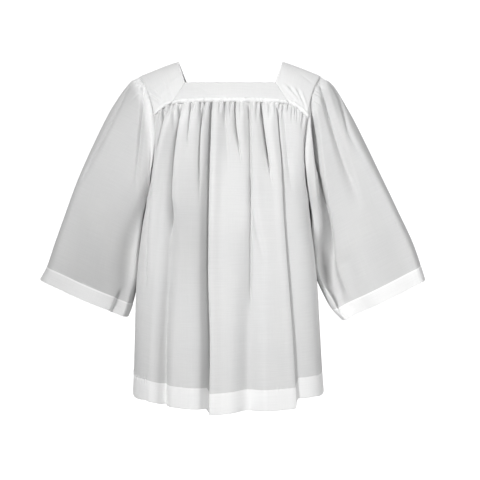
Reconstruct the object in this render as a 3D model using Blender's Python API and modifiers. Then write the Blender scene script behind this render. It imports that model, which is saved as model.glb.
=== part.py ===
"""A short white surplice with a square yoke, gathered front and back, and wide bell sleeves.

It keeps the hollow form that it has on the shoulders, with nobody in it. X runs across the garment,
the front faces -Y and Z is up. The origin lies at the middle of the shoulders, level with the neck
points, where the wearer holds the garment up. All sizes are in metres.

One function, body_depth, gives the garment's surface over the shoulders and round the chest. The yoke
pieces and the two gathered panels are laid on it, and the armhole that the sleeves start from is a line
on it. Every piece is a grid of vertices moved to its place, thickened inwards by Solidify.
"""

import bmesh
import bpy
import numpy as np


def table(columns, *rows):
    """A small table with named columns: a dictionary with one array for each column."""
    return dict(zip(columns.split(), np.array(rows, dtype=float).T))


# Cloth and seams.
CLOTH = 0.0014                # wall of one layer
DOUBLED = 0.0026              # wall where the cloth is turned up or the yoke is lined with itself
SEAM_GAP = 0.0004             # between two pieces at a seam
MITRE_GAP = 0.0009            # at the yoke's mitred corners, measured across
ARMHOLE_GAP = 0.0009          # and at the armholes, where the two curved edges are stepped differently
HEM_DEPTH = 0.052             # turned-up hem at the foot of the panels
CUFF_DEPTH = 0.038            # turned-up hem at the end of a sleeve
HEM_STEP = 0.003              # share of the length over which a wall thickens into its hem

# Shoulders and yoke.
NECK_HALF_TOP = 0.134         # half width of the neck opening on the shoulder line
NECK_HALF_LOW = 0.114         # and at its lower corners
NECK_DROP_FRONT = 0.066       # neck edge below the shoulders, in front
NECK_DROP_BACK = 0.050        # and behind
YOKE_DROP = 0.1134            # yoke seam below the shoulders
YOKE_CORNER = 0.146           # half width at the mitred corner of the yoke seam
YOKE_SLOPE = 0.95             # fall of the yoke seam from that corner to the armhole
YOKE_SOFTNESS = 0.022         # length over which the corner is rounded
SHOULDER_SLOPE = 0.40         # fall of the shoulder line outside the neck point
SHOULDER_SOFTNESS = 0.012     # length over which it starts to fall
CHEST_DROP = 0.165            # height where the shoulders' rounding has run into the chest
RIDGE_HEIGHT = 0.0016         # rolled lower edge of the yoke's bands, standing out
RIDGE_MIDDLE = 0.93           # its place down the band, as a share of the band
RIDGE_WIDTH = 0.05

# Panels.
RING_POWER = 2.4              # roundness of the body's section, 2 being an ellipse
UNDERARM_DROP = 0.360
HEM_SIDE_DROP = 0.856         # lower edge at the side seams
HEM_SAG = 0.028               # how much lower it hangs in front and behind
HEM_SAG_POWER = 4             # how suddenly it rises to the side seams
PANEL_TOP_HALF = 0.215        # half the panel's gathered width under the yoke, along the cloth
PANEL_HEM_HALF = 0.325        # and at the hem
GATHERS = 26                  # gathers along one yoke seam
COLUMNS_PER_GATHER = 3
GATHER_WANDER = ((0.55, 7.3), (0.35, 17.0))   # unevenness of their spacing: how far, and how often it turns
GATHER_REACH = 0.30           # share of the panel's height where a middling gather has gone
FOLD_START = 0.12             # share of the height over which a trough deepens
FOLD_END = 0.18               # and over which it fades
FOLD_OPENING = 0.6            # how much wider a trough gets by the hem
SIDE_SPREAD_POWER = 6         # how close to the panel's edge the grain bends round the armhole
SIDE_SPREAD_LIMIT = 1.08      # most that the straight grain may outrun the cloth's length
FOLDS_FADE = 0.84             # share of the half panel where gathers and troughs start to fade
FOLDS_GONE = 0.97             # and where they have gone, before its seam
EDGE_COLUMN = 0.008           # share of the half panel between its edge and the column beside it
GATHER_HEIGHT = 0.0064        # from crest to valley

# Half widths of the body to its left and right, and its depths, at some drops below the shoulders.
BODY = table("drop left right front back",
             (0.000, 0.270, 0.270, 0.118, 0.112),
             (0.110, 0.270, 0.270, 0.121, 0.116),
             (0.160, 0.262, 0.260, 0.127, 0.122),
             (0.220, 0.245, 0.238, 0.133, 0.127),
             (0.290, 0.226, 0.216, 0.139, 0.130),
             (0.360, 0.216, 0.203, 0.143, 0.132),
             (0.420, 0.225, 0.207, 0.147, 0.134),
             (0.500, 0.235, 0.216, 0.150, 0.137),
             (0.580, 0.242, 0.223, 0.153, 0.140),
             (0.700, 0.2455, 0.229, 0.156, 0.145),
             (0.800, 0.248, 0.234, 0.158, 0.149),
             (0.900, 0.252, 0.241, 0.160, 0.152))

# Distance of the armhole seam from the middle.
ARMHOLE = table("drop left right",
                (0.030, 0.2400, 0.2370),
                (0.045, 0.2325, 0.2285),
                (0.062, 0.2220, 0.2195),
                (0.088, 0.2090, 0.2085),
                (0.150, 0.1920, 0.1950),
                (0.220, 0.1870, 0.1840),
                (0.290, 0.1960, 0.1870),
                (0.340, 0.2080, 0.1960),
                (0.360, 0.2160, 0.2030))

# Troughs in a gathered panel: place along the cloth from the middle at the yoke and at the hem, where
# the trough starts and ends below the yoke, its width and its depth.
FRONT_FOLDS = table("top hem start end width depth",
                    (-0.186, -0.262, 0.00, 1.30, 0.015, 0.010),
                    (-0.126, -0.176, -0.10, 1.30, 0.011, 0.008),
                    (-0.076, -0.112, -0.10, 0.30, 0.008, 0.006),
                    (-0.050, -0.064, -0.10, 1.30, 0.011, 0.015),
                    (-0.012, -0.004, -0.10, 0.24, 0.008, 0.005),
                    (0.014, 0.090, -0.10, 0.20, 0.008, 0.005),
                    (0.046, 0.048, -0.10, 1.30, 0.012, 0.010),
                    (0.078, 0.112, -0.10, 0.90, 0.010, 0.008),
                    (0.130, 0.188, -0.02, 1.30, 0.012, 0.014),
                    (0.180, 0.262, 0.00, 1.30, 0.016, 0.010))
BACK_FOLDS = table("top hem start end width depth",
                   (-0.180, -0.258, 0.00, 1.30, 0.015, 0.010),
                   (-0.128, -0.185, -0.10, 1.30, 0.012, 0.012),
                   (-0.082, -0.122, -0.10, 0.36, 0.009, 0.007),
                   (-0.034, -0.054, -0.10, 1.30, 0.012, 0.011),
                   (0.000, 0.010, -0.10, 0.26, 0.008, 0.005),
                   (0.030, 0.058, -0.10, 0.80, 0.010, 0.007),
                   (0.070, 0.104, -0.10, 1.30, 0.012, 0.014),
                   (0.122, 0.185, -0.10, 1.30, 0.011, 0.009),
                   (0.178, 0.255, 0.00, 1.30, 0.016, 0.010))

# Sleeves: outer and inner edge as seen from the front, from the armhole to the cuff, and the depths of
# the section before and behind the line between them. lean shifts the inner edge towards the back.
SLEEVE_LEFT = table("way outer outer_drop inner inner_drop lean front back",
                    (0.00, 0.2345, 0.0405, 0.2160, 0.360, 0.000, 0.090, 0.090),
                    (0.05, 0.2540, 0.0570, 0.2190, 0.373, 0.006, 0.091, 0.091),
                    (0.15, 0.2970, 0.1130, 0.2265, 0.402, 0.018, 0.093, 0.094),
                    (0.30, 0.3520, 0.2100, 0.2345, 0.452, 0.035, 0.096, 0.099),
                    (0.45, 0.3940, 0.3000, 0.2400, 0.505, 0.045, 0.098, 0.103),
                    (0.60, 0.4285, 0.3940, 0.2440, 0.555, 0.045, 0.098, 0.105),
                    (0.75, 0.4555, 0.4700, 0.2500, 0.598, 0.035, 0.096, 0.104),
                    (0.90, 0.4770, 0.5320, 0.2590, 0.640, 0.022, 0.092, 0.100),
                    (1.00, 0.4925, 0.5600, 0.2665, 0.660, 0.015, 0.090, 0.098))
SLEEVE_RIGHT = table("way outer outer_drop inner inner_drop lean front back",
                     (0.00, 0.2335, 0.0345, 0.2030, 0.360, 0.000, 0.090, 0.090),
                     (0.05, 0.2556, 0.0530, 0.2065, 0.374, 0.006, 0.091, 0.091),
                     (0.15, 0.3000, 0.1220, 0.2110, 0.408, 0.018, 0.093, 0.094),
                     (0.30, 0.3520, 0.2170, 0.2150, 0.455, 0.035, 0.096, 0.099),
                     (0.45, 0.4000, 0.3150, 0.2200, 0.505, 0.045, 0.098, 0.103),
                     (0.60, 0.4385, 0.3960, 0.2260, 0.553, 0.045, 0.098, 0.105),
                     (0.75, 0.4700, 0.4630, 0.2400, 0.597, 0.035, 0.096, 0.104),
                     (0.90, 0.4925, 0.5260, 0.2640, 0.643, 0.022, 0.092, 0.100),
                     (1.00, 0.5030, 0.5600, 0.2876, 0.668, 0.015, 0.090, 0.098))

# Troughs in a sleeve: place round the section at the head and at the cuff (0 is the outer edge, 0.25
# the middle of the front, 0.5 the inner edge), where they start and end along it, width and depth.
SLEEVE_FOLDS = table("head cuff start end width depth",
                     (0.07, 0.10, 0.02, 0.62, 0.022, 0.007),
                     (0.15, 0.22, -0.05, 0.50, 0.026, 0.008),
                     (0.27, 0.38, 0.05, 1.10, 0.032, 0.010),
                     (0.60, 0.62, 0.15, 1.10, 0.034, 0.009),
                     (0.76, 0.72, 0.02, 0.75, 0.030, 0.009),
                     (0.88, 0.87, -0.05, 0.60, 0.024, 0.007))
SLEEVE_GATHERS = 7            # small gathers either side of the shoulder point
SLEEVE_GATHER_HEIGHT = 0.004
SLEEVE_GATHER_SPAN = 0.16     # share of the round, either side of the shoulder point, that they fill
SLEEVE_GATHER_REACH = 0.20    # share of the way down where they have gone
UNDERARM_EASE = 0.0020        # room between the sleeve's wall and the body's under the arm

# Mesh density.
PLAIN_SLEEVE_COLUMNS = 20     # round the part of the sleeve that isn't gathered
PANEL_ROWS = (0.0, 0.03, 0.08, 0.135, 0.19, 0.245, 0.298, 0.40, 0.55, 0.73)
UNDERARM_ROW = 6              # the row of these that starts the side seam
BAND_COLUMNS = 19
BAND_ROWS = (0.0, 0.4, 0.78, 0.88, 0.95, 1.0)
EDGE_STEPS = (0.0, 0.03, 0.07)        # first steps of a shoulder piece in from its lower edges
FINE = 200                            # points in a line that is measured along its length
SLEEVE_ROWS = (0.0, 0.04, 0.10, 0.19, 0.31, 0.45, 0.60, 0.78)

CLOTH_COLOUR = (0.86, 0.87, 0.88, 1.0)
DOUBLED_COLOUR = (0.93, 0.93, 0.94, 1.0)


def smooth_curve(places, values, wanted):
    """Value at the wanted place on a smooth curve through a table's rows."""
    slopes = np.gradient(values, places)
    row = np.clip(np.searchsorted(places, wanted) - 1, 0, len(places) - 2)
    span = places[row + 1] - places[row]
    t = np.clip((wanted - places[row]) / span, 0.0, 1.0)
    start = (1 + 2 * t) * (1 - t) ** 2 * values[row] + t * (1 - t) ** 2 * span * slopes[row]
    end = t * t * (3 - 2 * t) * values[row + 1] + t * t * (t - 1) * span * slopes[row + 1]
    return start + end


def fade(low, high, value):
    """Rises smoothly from 0 at low to 1 at high."""
    t = np.clip((value - low) / (high - low), 0.0, 1.0)
    return t * t * (3 - 2 * t)


def body_half_width(x, drop):
    """Half width of the body on the side of the middle where x lies."""
    left = smooth_curve(BODY["drop"], BODY["left"], drop)
    right = smooth_curve(BODY["drop"], BODY["right"], drop)
    return np.where(x < 0, left, right)


def shoulder_drop(x):
    """The shoulder line, seen from the front."""
    out = np.maximum(np.abs(x) - NECK_HALF_TOP, 0.0)
    return SHOULDER_SLOPE * out * out / (out + SHOULDER_SOFTNESS)


def arch(x, drop):
    """How far the surface has opened from the shoulder line (0) to the chest (1)."""
    rise = (CHEST_DROP - drop) / (CHEST_DROP - shoulder_drop(x))
    return np.sqrt(1 - np.clip(rise, 0.0, 1.0) ** 2)


def body_depth(side, x, drop):
    """Y of the garment's surface: side is -1 in front and 1 behind."""
    depths = BODY["front"] if side < 0 else BODY["back"]
    share = np.clip(np.abs(x) / body_half_width(x, drop), 0.0, 1.0)
    ring = (1 - share ** RING_POWER) ** (1 / RING_POWER)
    return side * smooth_curve(BODY["drop"], depths, drop) * ring * arch(x, drop)


def yoke_seam_drop(x):
    """The yoke's lower edge: level across the middle, falling to the armholes past a rounded corner."""
    past = np.abs(x) - YOKE_CORNER - YOKE_SOFTNESS / 2
    return YOKE_DROP + YOKE_SLOPE * (past + np.hypot(past, YOKE_SOFTNESS)) / 2


def armhole_edge(hand, drop):
    """X of the armhole seam; hand is -1 for the left of the picture and 1 for its right."""
    column = ARMHOLE["left"] if hand < 0 else ARMHOLE["right"]
    return hand * smooth_curve(ARMHOLE["drop"], column, drop)


def armhole_top(hand):
    """Drop of the point where the armhole crosses the shoulder line."""
    drops = np.linspace(ARMHOLE["drop"][0], ARMHOLE["drop"][3], 10 * FINE)
    return drops[np.argmin(np.abs(shoulder_drop(armhole_edge(hand, drops)) - drops))]


def yoke_seam_end(hand):
    """Drop of the point where the yoke seam meets the armhole."""
    drops = np.linspace(YOKE_DROP, UNDERARM_DROP, 10 * FINE)
    return drops[np.argmin(np.abs(yoke_seam_drop(armhole_edge(hand, drops)) - drops))]


def even_steps(points, shares):
    """Points at given shares of the length of a line."""
    lengths = np.concatenate([[0.0], np.cumsum(np.linalg.norm(np.diff(points, axis=0), axis=1))])
    wanted = np.asarray(shares) * lengths[-1]
    return np.stack([np.interp(wanted, lengths, points[:, axis]) for axis in range(3)], axis=1)


def armhole_line(hand, side, shares):
    """The armhole seam from the shoulder point to the underarm, before or behind the arm. Along the
    panel it runs straight from row to row, as the panel's own edge does."""
    top = armhole_top(hand)
    seam_end = yoke_seam_end(hand)
    over_shoulder = top + (seam_end - top) * (1 - np.cos(np.linspace(0, np.pi / 2, FINE)))
    down_panel = seam_end + (HEM_SIDE_DROP - seam_end) * np.array(PANEL_ROWS[1:UNDERARM_ROW])
    drop = np.concatenate([over_shoulder, down_panel, [UNDERARM_DROP]])
    x = armhole_edge(hand, drop)
    y = body_depth(side, x, drop)
    y[0] = 0.0
    y[-1] = 0.0
    return even_steps(np.stack([x, y, -drop], axis=1), shares)


def surface_normals(points, side, closed=False):
    """Unit normals of a grid of points, rows by columns. side is -1 where the columns run to the right
    as the surface is seen from outside, 1 where they run to the left."""
    if closed:
        along = np.roll(points, -1, axis=1) - np.roll(points, 1, axis=1)
    else:
        along = np.gradient(points, axis=1)
    down = np.gradient(points, axis=0)
    normal = np.cross(down, along) * -side
    return normal / np.linalg.norm(normal, axis=2, keepdims=True)


def troughs(folds, along, down):
    """Sum of the troughs in a table, for points along the cloth and down the panel."""
    total = np.zeros_like(along)
    for top, hem, start, end, width, depth in zip(*folds.values()):
        middle = top + (hem - top) * down
        reach = fade(start, start + FOLD_START, down) * (1 - fade(end - FOLD_END, end, down))
        total -= depth * reach * np.exp(-((along - middle) / (width * (1 + FOLD_OPENING * down))) ** 2)
    return total


def panel_edge(hand, drop):
    """X of a panel's edge: the armhole seam, or the side seam below it."""
    if drop < UNDERARM_DROP:
        return float(armhole_edge(hand, drop))
    return hand * float(body_half_width(hand, drop))


def share_down(drop):
    """Share of the way from the yoke seam to the hem, from a drop."""
    return (drop - YOKE_DROP) / (HEM_SIDE_DROP - YOKE_DROP)


def even_turns(hand, drop, out):
    """Angles round the body's section, from its middle, at shares of the cloth out to a panel's edge,
    and how far along the cloth they are. The steps are even, as the grain runs straight down, but for
    those near the edge, which make up for the armhole's curve."""
    share = min(abs(panel_edge(hand, drop)) / float(body_half_width(hand, drop)), 1.0)
    turn = np.linspace(0, np.arcsin(share ** (RING_POWER / 2)), FINE)
    x = body_half_width(hand, drop) * np.sin(turn) ** (2 / RING_POWER)
    y = smooth_curve(BODY["drop"], BODY["front"], drop) * np.cos(turn) ** (2 / RING_POWER)
    length = np.concatenate([[0.0], np.cumsum(np.hypot(np.diff(x), np.diff(y)))])
    plain = PANEL_TOP_HALF + (PANEL_HEM_HALF - PANEL_TOP_HALF) * share_down(drop)
    plain = min(plain, SIDE_SPREAD_LIMIT * length[-1])
    wanted = plain * out + (length[-1] - plain) * out ** SIDE_SPREAD_POWER
    return np.interp(wanted, length, turn), wanted


def section_point(hand, side, turn, drop):
    """A point of the body's section, from the angle round it and the drop."""
    depths = BODY["front"] if side < 0 else BODY["back"]
    x = hand * body_half_width(hand, drop) * np.sin(turn) ** (2 / RING_POWER)
    y = smooth_curve(BODY["drop"], depths, drop) * np.maximum(np.cos(turn), 0.0) ** (2 / RING_POWER)
    return np.stack([x, side * (y * arch(x, drop) + SEAM_GAP / 2), -drop], axis=1)


def row_drop(hand, down, out):
    """Drop of a row of a panel, from the yoke seam (down 0) to the hem's lower edge (down 1)."""
    turn = even_turns(hand, yoke_seam_end(hand), out)[0]
    top = np.full_like(out, YOKE_DROP)
    for _ in range(8):
        seam_x = section_point(hand, -1, turn, top)[:, 0]
        sloping = fade(YOKE_CORNER - YOKE_SOFTNESS, YOKE_CORNER + YOKE_SOFTNESS / 2, np.abs(seam_x))
        top = yoke_seam_drop(seam_x) + SEAM_GAP * (1 + sloping)
    hem = HEM_SIDE_DROP + HEM_SAG * (1 - out ** HEM_SAG_POWER)
    return top + (hem - top) * down


def half_row(hand, side, down, out):
    """Half a row of a panel, from the middle (out 0) to its edge (out 1), and its places along the cloth."""
    drop = row_drop(hand, down, out)
    edge_drop = float(row_drop(hand, down, np.array([1.0]))[0])
    turn, along = even_turns(hand, edge_drop if down > 0 else yoke_seam_end(hand), out)
    return section_point(hand, side, turn, drop), hand * along


def panel_points(side, fractions, rows):
    """Bare surface of a panel, rows by columns, and how far along the cloth from the middle each point is."""
    left = -fractions[fractions < 0]
    right = fractions[fractions >= 0]
    points, along = [], []
    for down in rows:
        left_points, left_along = half_row(-1, side, down, left)
        right_points, right_along = half_row(1, side, down, right)
        points.append(np.concatenate([left_points, right_points]))
        along.append(np.concatenate([left_along, right_along]))
    return np.array(points), np.array(along)


def gather_phase(side, fraction):
    """Gathers counted from the left edge; their spacing is uneven."""
    wander = sum(far * np.sin(often * fraction + side) for far, often in GATHER_WANDER)
    return GATHERS * (fraction + 1) / 2 + wander * (1 - fraction ** 2)


def gather_columns(side):
    """Columns of a panel, a fixed number to each gather, and one close to each edge, to square it."""
    fine = np.linspace(-1, 1, 20 * FINE)
    phases = np.linspace(0, GATHERS, GATHERS * COLUMNS_PER_GATHER + 1)
    columns = np.interp(phases, gather_phase(side, fine), fine)
    return np.sort(np.append(columns, [EDGE_COLUMN - 1, 1 - EDGE_COLUMN]))


def gathers(side, fraction, down):
    """Height of the gathers: uneven, tight under the yoke and gone lower down."""
    height = GATHER_HEIGHT * (0.75 + 0.25 * np.sin(11 * fraction + side))
    reach = GATHER_REACH * (1 + 0.4 * np.sin(9 * fraction + 2 * side))
    held = 0.55 + 0.45 * fade(0.0, PANEL_ROWS[1], down)
    wave = np.cos(2 * np.pi * gather_phase(side, fraction)) / 2
    return height * wave * held * (1 - fade(0.0, reach, down)) ** 1.5


def sheet(name, points, layers, colour, closed=False):
    """A cloth piece from its outer surface: rows by columns of points, thickened inwards.

    layers is each row's wall. A closed piece's last column meets its first one.
    """
    rows, columns = points.shape[:2]
    cloth = bmesh.new()
    bmesh.ops.create_grid(cloth, x_segments=columns - 1, y_segments=rows - 1, size=0.5)
    deform = cloth.verts.layers.deform.verify()
    for vertex in cloth.verts:
        column = round((vertex.co.x + 0.5) * (columns - 1))
        row = round((0.5 - vertex.co.y) * (rows - 1))
        vertex.co = points[row, column]
        vertex[deform][0] = layers[row] / DOUBLED
    if closed:
        bmesh.ops.remove_doubles(cloth, verts=cloth.verts, dist=1e-6)
    mesh = bpy.data.meshes.new(name)
    cloth.to_mesh(mesh)
    cloth.free()
    piece = bpy.data.objects.new(name, mesh)
    surplice.objects.link(piece)
    piece.vertex_groups.new(name="wall")
    wall = piece.modifiers.new("Wall", "SOLIDIFY")
    wall.thickness = DOUBLED
    wall.offset = -1.0
    wall.vertex_group = "wall"
    mesh.shade_smooth()
    mesh.materials.append(cloth_material(name, colour))
    return piece


def cloth_material(name, colour):
    """Matt white cotton."""
    material = bpy.data.materials.new(name + "_cloth")
    material.use_nodes = True
    shader = material.node_tree.nodes["Principled BSDF"]
    shader.inputs["Base Color"].default_value = colour
    shader.inputs["Roughness"].default_value = 0.85
    shader.inputs["Metallic"].default_value = 0.0
    return material


def hemmed_rows(rows, hem_share):
    """Rows with a close pair where the wall thickens into its hem, and the wall at each row."""
    rows = list(rows) + [1 - hem_share - HEM_STEP, 1 - hem_share, 1.0]
    walls = [CLOTH] * (len(rows) - 2) + [DOUBLED] * 2
    return np.array(rows), walls


def make_panel(name, side, folds):
    """Front or back panel: gathered into the yoke, with troughs that open down to a turned-up hem."""
    rows, walls = hemmed_rows(PANEL_ROWS, HEM_DEPTH / (HEM_SIDE_DROP - YOKE_DROP))
    columns = gather_columns(side)
    points, along = panel_points(side, columns, rows)
    fraction, down = np.meshgrid(columns, rows)
    edges = 1 - fade(FOLDS_FADE, FOLDS_GONE, np.abs(fraction))
    lift = (gathers(side, fraction, down) + troughs(folds, along, down)) * edges
    outward = surface_normals(points, side)
    outward[..., 2] *= fade(0.0, PANEL_ROWS[2], down)      # level at the seam: no gather rises into the yoke
    points = points + outward * lift[..., None]
    if side > 0:
        points = points[:, ::-1]
    return sheet(name, points, walls, CLOTH_COLOUR)


def make_yoke_band(name, side, neck_drop):
    """The band across the chest or the back, between the two mitred corners."""
    across, height = np.meshgrid(np.linspace(-1, 1, BAND_COLUMNS), BAND_ROWS)
    mitre = NECK_HALF_LOW + (YOKE_CORNER - NECK_HALF_LOW) * height - MITRE_GAP
    x = across * mitre
    drop = neck_drop + (yoke_seam_drop(x) - neck_drop) * height
    points = np.stack([x, body_depth(side, x, drop), -drop], axis=2)
    lift = RIDGE_HEIGHT * np.exp(-((height - RIDGE_MIDDLE) / RIDGE_WIDTH) ** 2)
    points = points + surface_normals(points, side) * lift[..., None]
    if side > 0:
        points = points[:, ::-1]
    return sheet(name, points, [DOUBLED] * len(height), DOUBLED_COLOUR)


def shoulder_path(hand, side, share, neck_drop):
    """A line over the shoulder from the yoke's lower edge to the shoulder line, before or behind."""
    low_edge = abs(float(armhole_edge(hand, yoke_seam_end(hand))))
    top_edge = abs(float(armhole_edge(hand, armhole_top(hand))))
    low_x = NECK_HALF_LOW + (low_edge - NECK_HALF_LOW) * share
    top_x = NECK_HALF_TOP + (top_edge - NECK_HALF_TOP) * share
    corner_drop = float(yoke_seam_drop(YOKE_CORNER))
    along_mitre = (low_x - NECK_HALF_LOW) / (YOKE_CORNER - NECK_HALF_LOW)
    if along_mitre < 1:
        low_drop = neck_drop + (corner_drop - neck_drop) * along_mitre
    else:
        low_drop = float(yoke_seam_drop(low_x))
    top_drop = float(shoulder_drop(top_x))
    turn = np.sin(np.linspace(0, np.pi / 2, FINE))
    drop = low_drop + (top_drop - low_drop) * turn
    x = low_x + (top_x - low_x) * turn
    seam = np.abs(armhole_edge(hand, drop)) - (low_edge + (top_edge - low_edge) * turn)
    x = x + seam * share ** 3
    y = body_depth(side, hand * x, drop)
    y[-1] = 0.0
    return np.stack([hand * x, y, -drop], axis=1)


def make_yoke_shoulder(name, hand):
    """A shoulder piece: from the neck edge out to the armhole, from the front mitre to the back one."""
    low_edge = abs(float(armhole_edge(hand, yoke_seam_end(hand))))
    corner = (YOKE_CORNER - NECK_HALF_LOW) / (low_edge - NECK_HALF_LOW)
    shares = np.concatenate([np.linspace(0, corner, 4), np.linspace(corner, 1, 7)[1:]])
    steps = np.concatenate([EDGE_STEPS, np.linspace(0.13, 0.87, 13), 1 - np.array(EDGE_STEPS)[::-1]])
    lines = []
    for share in shares:
        front = shoulder_path(hand, -1, share, NECK_DROP_FRONT)
        back = shoulder_path(hand, 1, share, NECK_DROP_BACK)
        lines.append(even_steps(np.concatenate([front, back[-2::-1]]), steps))
    points = np.array(lines)
    if hand < 0:
        points = points[::-1]
    return sheet(name, points, [DOUBLED] * len(shares), DOUBLED_COLOUR)


def section(sleeve, hand, way, round_way):
    """A point of the sleeve's plain tube: way runs from armhole to cuff, round_way from the outer edge
    over the front, the inner edge and the back."""
    value = {name: smooth_curve(sleeve["way"], sleeve[name], way) for name in sleeve}
    outer = np.stack([hand * value["outer"], 0 * way, -value["outer_drop"]], axis=-1)
    inner = np.stack([hand * value["inner"], value["lean"], -value["inner_drop"]], axis=-1)
    turn = 2 * np.pi * round_way
    depth = np.where(round_way < 0.5, value["front"], value["back"])
    point = (outer + inner) / 2 + (outer - inner) / 2 * np.cos(turn)[..., None]
    point[..., 1] -= depth * np.sin(turn)
    return point


def sleeve_columns():
    """Places round the sleeve: a crest and a valley for each gather, and even steps elsewhere."""
    span = SLEEVE_GATHER_SPAN
    gathered = np.arange(-2 * SLEEVE_GATHERS, 2 * SLEEVE_GATHERS) * span / (2 * SLEEVE_GATHERS)
    plain = np.linspace(span, 1 - span, PLAIN_SLEEVE_COLUMNS + 1)[:-1]
    return np.sort(np.concatenate([gathered, plain]) % 1.0)


def sleeve_head(hand, round_way):
    """The sleeve's first ring: the armhole seam, a seam's gap further out."""
    front = round_way <= 0.5
    points = np.zeros(round_way.shape + (3,))
    points[front] = armhole_line(hand, -1, 2 * round_way[front])
    points[~front] = armhole_line(hand, 1, 2 - 2 * round_way[~front])
    under = fade(0.28, 0.44, round_way) * (1 - fade(0.56, 0.72, round_way))
    points[:, 0] += hand * (ARMHOLE_GAP + UNDERARM_EASE * under)
    return points


def sleeve_lift(way, round_way):
    """Height of the gathers at the head and of the troughs down the sleeve."""
    off_top = np.minimum(round_way, 1 - round_way)
    wave = np.cos(2 * np.pi * SLEEVE_GATHERS * round_way / SLEEVE_GATHER_SPAN) / 2
    kept = 1 - fade(0.6 * SLEEVE_GATHER_SPAN, SLEEVE_GATHER_SPAN, off_top)
    lift = SLEEVE_GATHER_HEIGHT * wave * kept * (1 - fade(0.0, SLEEVE_GATHER_REACH, way))
    for head, cuff, start, end, width, depth in zip(*SLEEVE_FOLDS.values()):
        off = round_way - (head + (cuff - head) * way)
        reach = fade(start, start + 0.15, way) * (1 - fade(end - 0.25, end, way))
        lift -= depth * reach * np.exp(-(off / width) ** 2)
    return lift * fade(0.0, 0.06, way)


def make_sleeve(name, hand, sizes):
    """A bell sleeve: a tube from the armhole seam to a turned-up cuff."""
    length = np.hypot(np.ptp(sizes["outer"]), np.ptp(sizes["outer_drop"]))
    rows, walls = hemmed_rows(SLEEVE_ROWS, CUFF_DEPTH / length)
    round_way, way = np.meshgrid(sleeve_columns(), rows)
    points = section(sizes, hand, way, round_way)
    shift = sleeve_head(hand, round_way[0]) - points[0]
    points = points + shift * (1 - fade(0.0, 0.55, way))[..., None]
    lift = sleeve_lift(way, round_way)
    points = points + surface_normals(points, hand, closed=True) * lift[..., None]
    points = np.concatenate([points, points[:, :1]], axis=1)
    if hand > 0:
        points = points[:, ::-1]
    return sheet(name, points, walls, CLOTH_COLOUR, closed=True)


for old in list(bpy.data.objects):
    bpy.data.objects.remove(old)
surplice = bpy.data.collections.new("surplice")
bpy.context.scene.collection.children.link(surplice)

make_yoke_band("yoke_front", -1, NECK_DROP_FRONT)
make_yoke_band("yoke_back", 1, NECK_DROP_BACK)
make_yoke_shoulder("yoke_left", -1)
make_yoke_shoulder("yoke_right", 1)
make_panel("body_front", -1, FRONT_FOLDS)
make_panel("body_back", 1, BACK_FOLDS)
make_sleeve("sleeve_left", -1, SLEEVE_LEFT)
make_sleeve("sleeve_right", 1, SLEEVE_RIGHT)
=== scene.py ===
# %% [markdown]
# # A white surplice
# A surplice is a short, wide overgarment of thin white cotton. A square yoke lies on the shoulders, and
# two full panels are gathered into it, front and back. Two bell sleeves are gathered at the shoulder
# points. It is shown as it is worn, filled out, with nobody in it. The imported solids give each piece's
# place and size. Here every piece gets its real gathers, creases, hems, stitches and cloth.

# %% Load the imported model
import math

import bmesh
import bpy
import numpy as np
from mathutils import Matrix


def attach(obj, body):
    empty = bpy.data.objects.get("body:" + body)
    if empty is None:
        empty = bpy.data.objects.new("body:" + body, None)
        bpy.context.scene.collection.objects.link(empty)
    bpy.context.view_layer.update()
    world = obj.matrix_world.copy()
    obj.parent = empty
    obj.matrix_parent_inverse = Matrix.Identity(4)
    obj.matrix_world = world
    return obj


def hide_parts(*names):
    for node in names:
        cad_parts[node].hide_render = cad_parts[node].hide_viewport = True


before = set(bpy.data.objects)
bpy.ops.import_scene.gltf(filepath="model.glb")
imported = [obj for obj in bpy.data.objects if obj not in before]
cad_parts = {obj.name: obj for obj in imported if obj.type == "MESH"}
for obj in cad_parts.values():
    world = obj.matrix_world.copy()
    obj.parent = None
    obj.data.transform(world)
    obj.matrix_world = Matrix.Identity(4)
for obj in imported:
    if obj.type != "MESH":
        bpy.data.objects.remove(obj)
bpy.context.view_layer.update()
print("solids:", sorted(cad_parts))

# %% New objects
def placed(name, data):
    """A new object in the scene."""
    thing = bpy.data.objects.new(name, data)
    bpy.context.scene.collection.objects.link(thing)
    return thing


def mesh_from(name, shape):
    """An object made of a finished bmesh."""
    mesh = bpy.data.meshes.new(name)
    shape.to_mesh(mesh)
    shape.free()
    return placed(name, mesh)


# %% [markdown]
# ## Camera and studio
# The garment was photographed from straight in front, at the height of its middle. A long lens keeps the
# sleeves from being drawn wider than they are. A small lamp in front and to the left rounds the folds. It
# is aimed a little past the garment, so that the near sleeve isn't brighter than the far one. A larger
# lamp on the right brings out the creases, and weak light from all round fills the valleys. The white
# backdrop is a shell that the camera sees but that lights nothing, so that it can be white without
# washing the folds out.

# %% Camera
camera = placed("camera", bpy.data.cameras.new("camera"))
camera.location = (0.0242, -2.5, -0.4615)
camera.rotation_euler = (math.radians(90), 0, 0)
camera.data.sensor_width = 36.0
camera.data.lens = 72.1
bpy.context.scene.camera = camera
bpy.context.scene.view_settings.view_transform = "Standard"


# %% Lamps
def lamp(name, place, aim, size, power, spread=180.0):
    """A square area lamp that points from its place to the point it aims at."""
    light = placed(name, bpy.data.lights.new(name, "AREA"))
    light.data.size = size
    light.data.energy = power
    light.data.spread = math.radians(spread)
    light.location = place
    direction = np.array(aim) - np.array(place)
    level = math.hypot(direction[0], direction[1])
    turn = math.atan2(direction[0], -direction[1]) + math.pi
    light.rotation_euler = (math.atan2(level, -direction[2]), 0, turn)
    light.visible_camera = False


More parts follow.
